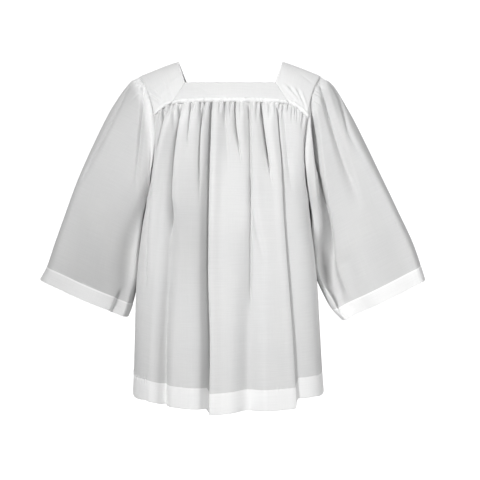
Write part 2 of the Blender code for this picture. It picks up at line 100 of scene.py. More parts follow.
MIDDLE = (0.0, 0.0, -0.45)
lamp("key", (-1.3, -2.4, 0.5), (0.45, 0.0, -0.56), 0.4, 6.2, spread=54.0)
lamp("fill", (2.2, -1.6, 0.0), (0.2, 0.0, -0.5), 1.0, 22.0)
lamp("top", (0.2, 0.6, 2.2), MIDDLE, 1.6, 10.0)
lamp("back", (-0.8, 2.6, 0.5), MIDDLE, 1.8, 34.0)

world = bpy.context.scene.world or bpy.data.worlds.new("studio")
bpy.context.scene.world = world
world.use_nodes = True
world.node_tree.nodes["Background"].inputs["Color"].default_value = (1.0, 1.0, 1.0, 1.0)
world.node_tree.nodes["Background"].inputs["Strength"].default_value = 0.25


# %% Backdrop and floor
def stage_piece(name, shape, colour, glow):
    """A plain pale piece of the studio, which isn't part of the garment."""
    piece = mesh_from(name, shape)
    material = bpy.data.materials.new(name)
    material.use_nodes = True
    shader = material.node_tree.nodes["Principled BSDF"]
    shader.inputs["Base Color"].default_value = (*colour, 1.0)
    shader.inputs["Roughness"].default_value = 0.9
    shader.inputs["Emission Color"].default_value = (1.0, 1.0, 1.0, 1.0)
    shader.inputs["Emission Strength"].default_value = glow
    piece.data.materials.append(material)
    return piece


shell = bmesh.new()
bmesh.ops.create_icosphere(shell, subdivisions=4, radius=9.0)
backdrop = stage_piece("backdrop", shell, (1.0, 1.0, 1.0), 1.0)
for ray in ("visible_diffuse", "visible_glossy", "visible_transmission", "visible_shadow"):
    setattr(backdrop, ray, False)

disc = bmesh.new()
bmesh.ops.create_circle(disc, cap_ends=True, segments=96, radius=1.25)
bmesh.ops.translate(disc, verts=disc.verts, vec=(0.0, 0.0, -1.45))
stage_piece("floor", disc, (0.9, 0.9, 0.9), 0.0)


# %% [markdown]
# ## Sizes in tables
# Cloth is easiest to shape from a few measures that a tailor would take, in millimetres. They are kept in
# small tables, one row for each height, fold or gather, and smooth curves run through them.

# %% Tables and curves
def table(columns, *rows):
    """A small table with named columns: a dictionary with one array for each column."""
    return dict(zip(columns.split(), np.array(rows, dtype=float).T))


def millimetres(columns, *rows):
    """A table of lengths. They are written in millimetres, and the columns are in metres."""
    return {name: column / 1000 for name, column in table(columns, *rows).items()}


def smooth_curve(places, values, wanted):
    """Value at the wanted place on a smooth curve through a table's rows."""
    slopes = np.gradient(values, places)
    row = np.clip(np.searchsorted(places, wanted) - 1, 0, len(places) - 2)
    span = places[row + 1] - places[row]
    t = np.clip((wanted - places[row]) / span, 0.0, 1.0)
    start = (1 + 2 * t) * (1 - t) ** 2 * values[row] + t * (1 - t) ** 2 * span * slopes[row]
    end = t * t * (3 - 2 * t) * values[row + 1] + t * t * (t - 1) * span * slopes[row + 1]
    return start + end


def fade(low, high, value):
    """Rises smoothly from 0 at low to 1 at high."""
    t = np.clip((value - low) / (high - low), 0.0, 1.0)
    return t * t * (3 - 2 * t)


def between(start, full, ending, end, value):
    """1 from full to ending, with a smooth rise from 0 at start and a smooth fall to 0 at end."""
    return fade(start, full, value) * (1 - fade(ending, end, value))


def bump_at(middle, half_width, value):
    """1 at the middle, falling smoothly to nothing about two half widths away."""
    return np.exp(-((value - middle) / half_width) ** 2)


# %% [markdown]
# ## The garment's surface
# One function gives the depth of the garment over the shoulders and round the chest. The yoke and the
# panels lie on it, and the armhole that the sleeves hang from is a line on it. These are the measures of
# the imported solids, so each piece lands exactly on the solid it stands for.

# %% Measures of the body and the yoke
CLOTH, DOUBLED = 0.0014, 0.0026
HEM_DEPTH, CUFF_DEPTH = 0.052, 0.038
NECK_HALF_TOP, NECK_HALF_LOW = 0.134, 0.114
NECK_DROP_FRONT, NECK_DROP_BACK = 0.066, 0.050
YOKE_DROP, YOKE_CORNER, YOKE_SLOPE, YOKE_SOFTNESS = 0.1134, 0.146, 0.95, 0.022
SHOULDER_SLOPE, SHOULDER_SOFTNESS = 0.40, 0.012
CHEST_DROP = 0.165
RING_POWER = 2.4
UNDERARM_DROP = 0.360
HEM_SIDE_DROP, HEM_SAG, HEM_SAG_POWER = 0.856, 0.028, 4
PANEL_TOP_HALF, PANEL_HEM_HALF = 0.215, 0.325
SIDE_SPREAD_POWER, SIDE_SPREAD_LIMIT = 6, 1.08
FINE = 200                    # points along a line that is measured before it is divided
SIDES = {-1: "front", 1: "back"}
HANDS = {-1: "left", 1: "right"}

BODY = millimetres("drop left right front back",
    (0, 270, 270, 118, 112), (110, 270, 270, 121, 116), (160, 262, 260, 127, 122),
    (220, 245, 238, 133, 127), (290, 226, 216, 139, 130), (360, 216, 203, 143, 132),
    (420, 225, 207, 147, 134), (500, 235, 216, 150, 137), (580, 242, 223, 153, 140),
    (700, 245.5, 229, 156, 145), (800, 248, 234, 158, 149), (900, 252, 241, 160, 152))

ARMHOLE = millimetres("drop left right",
    (30, 240, 237), (45, 232.5, 228.5), (62, 222, 219.5), (88, 209, 208.5), (150, 192, 195),
    (220, 187, 184), (290, 196, 187), (340, 208, 196), (360, 216, 203))


# %% Shoulders, yoke seam and armholes
def body_measure(name, drop):
    return smooth_curve(BODY["drop"], BODY[name], drop)


def body_half_width(x, drop):
    return np.where(x < 0, body_measure("left", drop), body_measure("right", drop))


def shoulder_drop(x):
    out = np.maximum(np.abs(x) - NECK_HALF_TOP, 0.0)
    return SHOULDER_SLOPE * out * out / (out + SHOULDER_SOFTNESS)


def arch(x, drop):
    """How far the surface has opened from the shoulder line (0) to the chest (1)."""
    rise = (CHEST_DROP - drop) / (CHEST_DROP - shoulder_drop(x))
    return np.sqrt(1 - np.clip(rise, 0.0, 1.0) ** 2)


def body_depth(side, x, drop):
    """Y of the garment's surface: side is -1 in front and 1 behind."""
    share = np.clip(np.abs(x) / body_half_width(x, drop), 0.0, 1.0)
    ring = (1 - share ** RING_POWER) ** (1 / RING_POWER)
    return side * body_measure(SIDES[side], drop) * ring * arch(x, drop)


def yoke_seam_drop(x):
    past = np.abs(x) - YOKE_CORNER - YOKE_SOFTNESS / 2
    return YOKE_DROP + YOKE_SLOPE * (past + np.hypot(past, YOKE_SOFTNESS)) / 2


def armhole_edge(hand, drop):
    """X of the armhole seam; hand is -1 for the left of the picture and 1 for its right."""
    return hand * smooth_curve(ARMHOLE["drop"], ARMHOLE[HANDS[hand]], drop)


def armhole_top(hand):
    drops = np.linspace(ARMHOLE["drop"][0], ARMHOLE["drop"][3], 10 * FINE)
    return drops[np.argmin(np.abs(shoulder_drop(armhole_edge(hand, drops)) - drops))]


def yoke_seam_end(hand):
    drops = np.linspace(YOKE_DROP, UNDERARM_DROP, 10 * FINE)
    return drops[np.argmin(np.abs(yoke_seam_drop(armhole_edge(hand, drops)) - drops))]


def lengths_along(line):
    """Length of a line up to each of its points."""
    return np.concatenate([[0.0], np.cumsum(np.linalg.norm(np.diff(line, axis=0), axis=1))])


def at_lengths(wanted, lengths, values):
    """Points or directions at some lengths along a line of them."""
    return np.stack([np.interp(wanted, lengths, values[:, axis]) for axis in range(3)], axis=1)


def even_steps(line, shares):
    """Points at given shares of the length of a line."""
    lengths = lengths_along(line)
    return at_lengths(shares * lengths[-1], lengths, line)


def armhole_line(hand, side, shares):
    """The armhole seam from the shoulder point to the underarm, before or behind the arm."""
    top = armhole_top(hand)
    drop = top + (UNDERARM_DROP - top) * (1 - np.cos(np.linspace(0, np.pi, FINE))) / 2
    x = armhole_edge(hand, drop)
    y = body_depth(side, x, drop)
    y[0] = y[-1] = 0.0
    return even_steps(np.stack([x, y, -drop], axis=1), shares)


for hand in (-1, 1):
    print("armhole starts at drop", armhole_top(hand), "and the yoke seam ends at drop", yoke_seam_end(hand))


# %% [markdown]
# ## From points to cloth
# Every piece starts as a flat bmesh grid, like a length of cloth on a table. Each vertex is moved to its
# place on the garment, and the Solidify modifier thickens the sheet inwards, more where the cloth is
# turned up in a hem. The UV map is in metres along and down the cloth, so the weave in the material
# follows the threads wherever the cloth goes. v counts up from the piece's lower edge, which makes a hem
# a simple question of how large v is. A row of real stitches then runs across each piece, beside its hem
# or its neck edge.

# %% Normals and lengths of a sheet
def surface_normals(points, side, closed=False):
    """Unit normals of a grid of points. side is -1 where columns run to the right as seen from outside."""
    if closed:
        along = np.roll(points, -1, axis=1) - np.roll(points, 1, axis=1)
    else:
        along = np.gradient(points, axis=1)
    down = np.gradient(points, axis=0)
    normal = np.cross(down, along) * -side
    return normal / np.maximum(np.linalg.norm(normal, axis=2, keepdims=True), 1e-12)


def cloth_lengths(points):
    """u along the rows from their middle, and v up the columns from the last row, in metres."""
    across = np.linalg.norm(np.diff(points, axis=1), axis=2)
    u = np.concatenate([np.zeros((len(points), 1)), np.cumsum(across, axis=1)], axis=1)
    up = np.linalg.norm(np.diff(points, axis=0), axis=2)[::-1]
    v = np.concatenate([np.zeros((1, points.shape[1])), np.cumsum(up, axis=0)])[::-1]
    return u - u[:, -1:] / 2, v


# %% Stitches
STITCH = 0.0034               # from one stitch to the next
STITCH_LENGTH = 0.0024
THREAD_HALF_WIDTH, THREAD_HEIGHT = 0.00026, 0.00030
STITCHES = {}                 # the row of stitches on each piece, by the piece's name


def stitch_row(name, points, v, level):
    """A row of short stitches across a sheet, one mesh. level is the row's v in each column."""
    upwards = slice(None, None, -1) if v[0, 0] > v[-1, 0] else slice(None)

    def on_row(values):
        return np.array([[np.interp(level[column], v[upwards, column], values[upwards, column, axis])
                          for axis in range(3)] for column in range(len(level))])

    line, outward = on_row(points), on_row(surface_normals(points, -1))
    lengths = lengths_along(line)
    starts = np.arange(STITCH / 2, lengths[-1] - STITCH, STITCH)
    first = at_lengths(starts, lengths, line)
    last = at_lengths(starts + STITCH_LENGTH, lengths, line)
    up = at_lengths(starts + STITCH_LENGTH / 2, lengths, outward)
    aside = np.cross(last - first, up)
    aside *= THREAD_HALF_WIDTH / np.linalg.norm(aside, axis=1, keepdims=True)
    up = up * THREAD_HEIGHT
    middle = (first + last) / 2
    rings = np.stack([middle + up, middle + aside, middle - up, middle - aside], axis=1)
    shape = bmesh.new()
    for start, end, ring in zip(first, last, rings):
        tips = [shape.verts.new(start), shape.verts.new(end)]
        sides = [shape.verts.new(place) for place in ring]
        for turn in range(4):
            for tip in tips:
                shape.faces.new((tip, sides[turn], sides[(turn + 1) % 4]))
    bmesh.ops.recalc_face_normals(shape, faces=shape.faces)
    stitches = mesh_from(name, shape)
    stitches.data.shade_smooth()
    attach(stitches, "root")
    print(name, len(starts), "stitches")
    return stitches


# %% Sheet of cloth
def sheet(name, points, lengths, walls, material, stitched, tone, closed=False):
    """A cloth piece from rows and columns of points, thickened inwards by each row's wall.

    A row of stitches runs across it where v is the value in stitched. tone is 1 where the cloth is rolled
    over and so looks whitest, 0 for plain cloth, and -1 for the darkest painted shade. Between, it also
    carries painted shade below 0 and painted light above 0."""
    rows, columns = points.shape[:2]
    grid = bmesh.new()
    bmesh.ops.create_grid(grid, x_segments=columns - 1, y_segments=rows - 1, size=0.5)
    deform = grid.verts.layers.deform.verify()
    threads = grid.loops.layers.uv.new("threads")
    toned = grid.verts.layers.float.new("tone")
    places = {}
    for vertex in grid.verts:
        column = round((vertex.co.x + 0.5) * (columns - 1))
        row = round((0.5 - vertex.co.y) * (rows - 1))
        places[vertex.index] = (row, column)
        vertex.co = points[row, column]
        vertex[deform][0] = walls[row] / DOUBLED
        vertex[toned] = tone[row, column]
    for face in grid.faces:
        for loop in face.loops:
            place = places[loop.vert.index]
            loop[threads].uv = (lengths[0][place], lengths[1][place])
    if closed:
        bmesh.ops.remove_doubles(grid, verts=grid.verts, dist=1e-6)
    piece = mesh_from(name, grid)
    piece.vertex_groups.new(name="wall")
    wall = piece.modifiers.new("Wall", "SOLIDIFY")
    wall.thickness = DOUBLED
    wall.offset = -1.0
    wall.vertex_group = "wall"
    piece.data.shade_smooth()
    piece.data.materials.append(material)
    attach(piece, "root")
    STITCHES[name] = stitch_row(name + "_stitches", points, lengths[1], np.broadcast_to(stitched, columns))
    print(name, rows, "x", columns, "vertices")
    return piece


# %% [markdown]
# ## Creases
# Gathered cotton doesn't wave like water. Where the cloth is pushed together it folds over itself: the
# edge of one soft roll lies over the next, with a dark line between them that is steep on one side and
# gentle on the other. So a crease here has a place, a depth and two widths. Its section is a parabola on
# each side, which leaves rounded rolls between sharp valleys. Its lap slides the steep side over the
# valley and the valley's bottom under it, as in a soft pleat.

# %% Section of a crease
BOTTOM_SOFTNESS = 0.0010
SLOT = 0.0042                 # width of the narrow gap at the bottom of a lapped crease
SLOT_SHARE, CREST_SHARE = 1.5, 0.9              # depth of the gap and height of the roll, as shares of a lap
CREST_OFF, CREST_HALF_WIDTH = 0.009, 0.011      # the roll's place past the steep side, and its size


def valley(off, left, right, softness=BOTTOM_SOFTNESS):
    """1 at a crease's bottom line and 0 beyond its width on either side. A wide side starts more softly."""
    width = np.where(off < 0, left, right)
    soft = np.minimum(softness, 0.35 * width)
    t = (np.hypot(off, soft) - soft) / width
    return np.clip(1 - t, 0.0, 1.0) ** 2


def crest(off, left, right, lap):
    """Height of the round roll that lies over the crease, on its steep side."""
    steep = right if lap > 0 else left
    return CREST_SHARE * abs(lap) * bump_at(steep + CREST_OFF, CREST_HALF_WIDTH, off * np.sign(lap))


def lapping(off, left, right, lap):
    """How far the cloth slides sideways beside a crease. A positive lap lays the right side over the left."""
    turned = np.sign(lap)
    off = off * turned
    gentle, steep = (left, right) if turned > 0 else (right, left)
    under = np.clip(1 + off / gentle, 0.0, 1.0) ** 2 / 2
    wall = 0.5 - fade(0.0, 1.0, off / steep)
    over = -np.clip(1 - (off - steep) / (4 * steep + 0.012), 0.0, 1.0) ** 2 / 2
    return lap * np.where(off < 0, under, np.where(off < steep, wall, over))


# %% Main creases of the front
# One row is one crease: a to g are its x at the drops in CREASE_DROPS. start and end are drops, top and
# low are its depth at both ends, left and right its widths, and lap is how far one side lies over. A thin
# row beside a deep crease is the dark line at its bottom.
CREASE_DROPS = np.array([0.125, 0.190, 0.280, 0.410, 0.560, 0.710, 0.870])
FRONT_CREASES = millimetres("a b c d e f g start end top low left right lap soft",
    (-119, -130, -141, -147, -150, -157, -160, 90, 460, 10, 22, 30, 4, 5, 1),
    (-121, -132, -143.5, -150, -153, -160, -163, 120, 460, 6, 10, 5, 4, 0, 1),
    (-119, -130, -141, -150, -160, -170, -175, 360, 1100, 10, 30, 28, 28, 0, 8),
    (-46, -48, -51, -54, -55, -51, -53, 90, 1100, 18, 50, 48, 5, 8, 2),
    (-48, -51, -55, -58, -59, -55, -57, 110, 800, 12, 10, 5, 4, 0, 1),
    (12, 16, 28, 34, 40, 40, 40, 90, 280, 11, 10, 16, 3, 7, 1),
    (76, 83, 96, 112, 120, 130, 140, 90, 330, 12, 9, 20, 4, 7, 1),
    (46, 48, 50, 51, 51, 49, 50, 90, 660, 7, 6, 16, 6, 2, 1),
    (44, 45, 46, 48, 47, 46, 45, 420, 1100, 4, 30, 36, 36, 0, 14),
    (47, 48, 51, 62, 92, 97, 98, 300, 540, 6, 7, 14, 18, 0, 2),
    (-68, -74, -78, -77, -77, -77, -77, 90, 370, 8, 6, 12, 3, 5, 1),
    (-97, -103, -110, -110, -110, -110, -110, 90, 250, 6, 5, 12, 3, 4, 1),
    (115, 120, 128, 135, 146, 157, 167, 110, 1100, 4, 9, 4, 85, -4, 30),
    (-13, -10, -6, 0, 0, 0, 0, 90, 300, 5, 5, 18, 8, 0, 1),
    (135, 139, 149, 162, 172, 182, 190, 100, 360, 6, 5, 12, 12, 0, 3),
    (-156, -170, -188, -203, -209, -212, -215, 130, 600, 8, 6, 12, 5, 7, 1))

# %% Main creases of the back
BACK_CREASES = millimetres("a b c d e f g start end top low left right lap soft",
    (112, 118, 128, 140, 148, 156, 160, 90, 1100, 9, 22, 5, 32, -8, 2),
    (70, 72, 78, 86, 86, 90, 90, 90, 330, 10, 7, 4, 16, -6, 1),
    (41, 43, 47, 50, 56, 61, 60, 90, 1100, 12, 34, 5, 32, -10, 1),
    (4, 2, -3, -4, -4, -4, -4, 90, 290, 9, 8, 4, 14, -5, 1),
    (-30, -32, -36, -40, -46, -40, -36, 90, 740, 9, 12, 6, 28, -5, 2),
    (-30, -32, -36, -40, -46, -42, -36, 560, 1100, 4, 17, 30, 30, 0, 12),
    (-66, -70, -76, -82, -90, -90, -90, 90, 420, 10, 8, 4, 18, -6, 1),
    (-102, -108, -116, -124, -134, -144, -150, 90, 1100, 10, 26, 34, 5, 9, 2),
    (-140, -146, -154, -164, -174, -180, -180, 120, 480, 6, 7, 16, 5, 4, 1),
    (152, 158, 166, 184, 196, 206, 210, 120, 1100, 5, 12, 24, 24, 0, 8),
    (-165, -172, -178, -192, -203, -210, -214, 150, 1100, 4, 10, 22, 22, 0, 6))

# %% Gathers under the yoke
FRONT_GATHERS = millimetres("x depth length width",
    (-197, 4, 60, 6), (-185, 4, 70, 7), (-169, 4.4, 60, 6), (-155, 3.6, 60, 6), (-142, 3.6, 90, 6),
    (-130, 3.6, 60, 5), (-116, 2.2, 55, 6), (-99, 3, 60, 6), (-91, 2, 35, 4), (-76, 3, 75, 6),
    (-65, 3.6, 60, 5), (-48, 2.6, 50, 6), (-35, 1.6, 30, 5), (-25, 2.2, 40, 5), (-14, 4, 85, 6),
    (0, 2.4, 60, 6), (12, 3.4, 50, 5), (26, 3, 65, 6), (34, 1.8, 35, 4), (46, 3, 55, 6), (56, 1.8, 40, 5),
    (66, 2.6, 70, 6), (77, 3.6, 60, 5), (87, 2, 35, 5), (97, 2.4, 70, 6), (111, 2.4, 45, 6),
    (123, 2.8, 60, 5), (134, 2.6, 55, 6), (146, 2, 50, 5), (156, 2.8, 60, 6), (169, 2.4, 50, 6),
    (182, 2.8, 55, 6), (196, 2.4, 45, 6))
WRINKLES = 90                 # still finer ones between them, drawn at random


def back_gathers():
    """The back has as many gathers as the front, in another order."""
    order = np.random.default_rng(31)
    x = np.sort(-FRONT_GATHERS["x"] + order.uniform(-0.003, 0.003, len(FRONT_GATHERS["x"])))
    mixed = order.permutation(len(x))
    return dict(x=x, depth=FRONT_GATHERS["depth"][mixed], length=FRONT_GATHERS["length"][mixed],
                width=FRONT_GATHERS["width"][mixed])


def with_wrinkles(gathers, seed):
    """A table of gathers with the finer wrinkles added to it, in the same order of columns."""
    draw = np.random.default_rng(seed)
    fine = dict(x=draw.uniform(-0.205, 0.205, WRINKLES), depth=draw.uniform(0.0006, 0.0020, WRINKLES),
                length=draw.uniform(0.012, 0.050, WRINKLES), width=draw.uniform(0.0020, 0.0040, WRINKLES))
    return {name: np.concatenate([gathers[name], fine[name]]) for name in fine}


# %% [markdown]
# ## Panels
# The front and the back are each one wide width of cloth. Its straight threads run down from the yoke,
# and only near the armholes do they bend. The rows are close together under the yoke, where the gathers
# are, and at the hem.

# %% Points of a panel
def panel_edge(hand, drop):
    """X of a panel's edge: the armhole seam, or the side seam below it."""
    if drop < UNDERARM_DROP:
        return float(armhole_edge(hand, drop))
    return hand * float(body_half_width(hand, drop))


def even_turns(hand, drop, out):
    """Angles round the body's section at shares of the cloth out to a panel's edge, and the cloth so far."""
    share = min(abs(panel_edge(hand, drop)) / float(body_half_width(hand, drop)), 1.0)
    turn = np.linspace(0, np.arcsin(share ** (RING_POWER / 2)), FINE)
    x = body_half_width(hand, drop) * np.sin(turn) ** (2 / RING_POWER)
    y = body_measure("front", drop) * np.cos(turn) ** (2 / RING_POWER)
    length = np.concatenate([[0.0], np.cumsum(np.hypot(np.diff(x), np.diff(y)))])
    share_down = (drop - YOKE_DROP) / (HEM_SIDE_DROP - YOKE_DROP)
    plain = PANEL_TOP_HALF + (PANEL_HEM_HALF - PANEL_TOP_HALF) * share_down
    plain = min(plain, SIDE_SPREAD_LIMIT * length[-1])
    wanted = plain * out + (length[-1] - plain) * out ** SIDE_SPREAD_POWER
    return np.interp(wanted, length, turn), wanted


def section_point(hand, side, turn, drop):
    """Points of the plain body at angles round its section."""
    x = hand * body_half_width(hand, drop) * np.sin(turn) ** (2 / RING_POWER)
    y = body_measure(SIDES[side], drop) * np.maximum(np.cos(turn), 0.0) ** (2 / RING_POWER)
    return np.stack([x, side * y * arch(x, drop), -drop], axis=1)


def row_drop(hand, down, out):
    """Drop of a row of a panel, from the yoke seam (down 0) to the hem's lower edge (down 1)."""
    turn = even_turns(hand, yoke_seam_end(hand), out)[0]
    top = np.full_like(out, YOKE_DROP)
    for _ in range(8):
        top = yoke_seam_drop(section_point(hand, -1, turn, top)[:, 0])
    hem = HEM_SIDE_DROP + HEM_SAG * (1 - out ** HEM_SAG_POWER)
    return top + (hem - top) * down


def half_row(hand, side, down, out):
    """One half of a row: its points, and how far along the cloth they are from the middle."""
    drop = row_drop(hand, down, out)
    edge_drop = float(row_drop(hand, down, np.array([1.0]))[0])
    turn, along = even_turns(hand, edge_drop if down > 0 else yoke_seam_end(hand), out)
    return section_point(hand, side, turn, drop), hand * along


def panel_points(side, fractions, rows):
    """Bare surface of a panel, rows by columns, and how far along the cloth from the middle each point is."""
    left = -fractions[fractions < 0]
    right = fractions[fractions >= 0]
    points, along = [], []
    for down in rows:
        left_points, left_along = half_row(-1, side, down, left)
        right_points, right_along = half_row(1, side, down, right)
        points.append(np.concatenate([left_points, right_points]))
        along.append(np.concatenate([left_along, right_along]))
    return np.array(points), np.array(along)


# %% Relief of a panel
PANEL_HEIGHT = HEM_SIDE_DROP - YOKE_DROP
PUFF = 0.0050                 # how far the gathered cloth swells out below the seam
FULL_SIDES = 0.017            # how far it stands forward of the plain form before it turns to the sides
FULL_FROM = 0.08              # length below the yoke from which it does so
SEAM_HOLD = 0.010             # length over which the seam still holds the gathers flat
GATHERS_HELD, CREASES_HELD = 0.45, 0.20     # shares of their depth that they have at the seam
# Painted light in the panels' colour: painted shade beside the main creases, and a painted highlight on the
# roll over a lapped crease.
CREASE_PAINTED_SHADE = 0.22            # how much greyer the cloth is beside a main crease
GREY_DEPTH = 0.014            # depth from which a crease is that grey
CREST_PAINTED_HIGHLIGHT = 20.0            # how much whiter the cloth is for each metre of a crest's height
CREST_END = (0.30, 0.50)      # drops over which the crests get lower
LOWEST = 0.88                 # drop at which a crease that runs out at the hem has its low depth


def seam_hold(drop):
    """Share of the body's fullness that the armhole seam still has, from its start down to the underarm."""
    return 0.8 * (1 - fade(0.27, 0.355, drop))


def crease_relief(creases, points, along):
    """Depth of the main creases at every point of a panel, how far they slide it sideways, and their painted
    shade and painted highlights.
    """
    drop = -points[..., 2]
    relief, slide, tone = np.zeros((3,) + drop.shape)
    lower = fade(*CREST_END, drop)
    for crease in zip(*creases.values()):
        start, end, top, low, left, right, lap, soft = crease[7:]
        x = smooth_curve(CREASE_DROPS, np.array(crease[:7]), drop)
        off = along - np.array([np.interp(x[row], points[row, :, 0], along[row]) for row in range(len(x))])
        reach = between(start - 0.01, start + 0.03, end - 0.10, end, drop)
        depth = top + (low - top) * np.clip((drop - start) / (min(end, LOWEST) - start), 0.0, 1.0)
        relief -= depth * reach * valley(off, left, right, soft)
        # Painted shade: the cloth beside a crease is painted greyer, where shade falls.
        grey = CREASE_PAINTED_SHADE * np.minimum(depth / GREY_DEPTH, 1.0)
        tone -= grey * reach * valley(off, 2 * left, 2 * right, 0.010)
        if lap:
            roll = reach * crest(off, left, right, lap)
            relief += roll * (1 - 0.5 * lower)
            # Painted highlight: the roll is painted whiter, where it catches the light.
            tone += CREST_PAINTED_HIGHLIGHT * roll * (1 - lower)
            slot = (SLOT, right) if lap > 0 else (left, SLOT)
            relief -= SLOT_SHARE * abs(lap) * reach * valley(off, *slot)
        slide += reach * lapping(off, left, right, lap)
    return relief, slide, tone


def painted_light_and_shade(patches, across, down):
    """Soft spots of painted shade (an amount below 0) or painted light (above 0)."""
    return sum(amount * bump_at(middle, half_width, across) * bump_at(height, half_height, down)
               for middle, height, half_width, half_height, amount in zip(*patches.values()))


def turned_round(*grids):
    """Grids with their columns in the opposite order, which turns a sheet's outside the other way."""
    return [grid[:, ::-1] for grid in grids]


GATHER_DEPTH, GATHER_OPENING = 2.2, 6.0     # how much deeper than in the table, and how fast they widen
GATHER_SIDES = (0.7, 1.5)                   # widths of a gather's steep and gentle side


def gather_relief(gathers, points, along, below):
    """Depth of the small gathers: each starts at the yoke seam and runs down with the threads."""
    relief = np.zeros_like(below)
    seam_x = points[0, :, 0]
    columns = np.arange(len(seam_x))
    for x, depth, length, width in zip(*gathers.values()):
        column = np.interp(x, seam_x, columns)
        middle = np.array([np.interp(column, columns, row) for row in along])[:, None]
        left, right = (share * width * (1 + GATHER_OPENING * below) for share in GATHER_SIDES)
        reach = 1 - fade(0.15 * length, length, below)
        relief -= GATHER_DEPTH * depth * reach * valley(along - middle, left, right)
    return relief


UNEVENNESS = 0.0012


def slow_waves(u, v, seed):
    """Long, weak unevenness that every hanging cloth has."""
    draw = np.random.default_rng(seed)
    waves = np.zeros_like(u)
    for _ in range(9):
        across, down = draw.uniform(6, 26), draw.uniform(-7, 7)
        waves += np.sin(across * u + down * v + draw.uniform(0, 6.28)) * draw.uniform(0.3, 1.0)
    return UNEVENNESS * waves / 3


PUCKER, PUCKER_HALF_HEIGHT = 0.0018, 0.0060
PUCKERED = (0.62, 0.74)       # shares of the half width past which the hem's seam puckers fully


def puckers(u, seed):
    """Small uneven puckers along a line of stitches, most of them about a centimetre long."""
    draw = np.random.default_rng(seed)
    waves = sum(np.sin(draw.uniform(380, 720) * u + draw.uniform(0, 6.28)) for _ in range(4))
    return PUCKER * waves / 2


# %% Make a panel
PANEL_COLUMNS = 421
HEM_STITCH = 0.0022           # the seam's distance below the hem's upper edge
CLOSE_ROWS, UPPER_ROWS = 0.085, 0.22        # lengths below the yoke that have closer rows
CALM = (0.94, 0.992)          # shares of the half width over which creases calm down to the edge
FULL, TURN = (0.50, 0.90), (0.945, 0.995)   # shares over which the sides stand forward and turn away


def panel_rows():
    """Rows from the yoke seam down: close under the seam, then even, and close again at the hem."""
    under_seam = np.linspace(0, CLOSE_ROWS, 34)[:-1]
    upper = np.linspace(CLOSE_ROWS, UPPER_ROWS, 17)[:-1]
    hem_top = PANEL_HEIGHT - HEM_DEPTH
    open_cloth = np.linspace(UPPER_ROWS, hem_top - 0.012, 34)[:-1]
    hem_seam = hem_top + np.array([-0.012, -0.006, -0.003, -0.0015, -0.0005, 0.0005, 0.0015, 0.003, 0.006])
    hem = np.linspace(hem_top + 0.012, PANEL_HEIGHT - 0.002, 9)
    rows = np.concatenate([under_seam, upper, open_cloth, hem_seam, hem, [PANEL_HEIGHT]])
    return rows / PANEL_HEIGHT


# How far the hem hangs below the plain form at some x. Most of it is raised a little.
HEM_SHIFTS = {
    -1: millimetres("x drop",
        (-240, -13), (-212, -18), (-177, -12), (-150, -11), (-58, -6), (-52, 4.5), (-20, 3), (30, -3),
        (162, -5), (168, -27), (210, -24), (240, -16)),
    1: millimetres("x drop",
        (-240, -13), (-200, -11), (-160, -9), (-150, -2), (-50, 3), (52, 2), (60, -7), (150, -9),
        (160, -4), (240, -16))}

# Soft patches of painted shade (amounts below 0) and painted light (above 0) on the panels, where their cloth
# is shaded or lit.
PANEL_PAINTED_LIGHT_AND_SHADE = {
    -1: table("x drop half_width half_height amount",
        (-0.105, 0.430, 0.048, 0.160, -0.75), (-0.020, 0.230, 0.024, 0.080, -0.25),
        (-0.110, 0.150, 0.050, 0.046, 0.40), (0.120, 0.150, 0.060, 0.040, 0.16),
        (0.050, 0.240, 0.030, 0.080, -0.25), (0.010, 0.480, 0.080, 0.120, -0.20)),
    1: table("x drop half_width half_height amount",
        (0.095, 0.430, 0.040, 0.180, -0.50), (-0.070, 0.330, 0.035, 0.140, -0.45),
        (0.015, 0.230, 0.030, 0.080, -0.35), (-0.150, 0.600, 0.040, 0.140, -0.30))}


def stitched_groove(v, edge_depth):
    """The line that the stitches of a turned-up edge press into the cloth."""
    return 0.0007 * bump_at(edge_depth - HEM_STITCH, 0.0012, v)


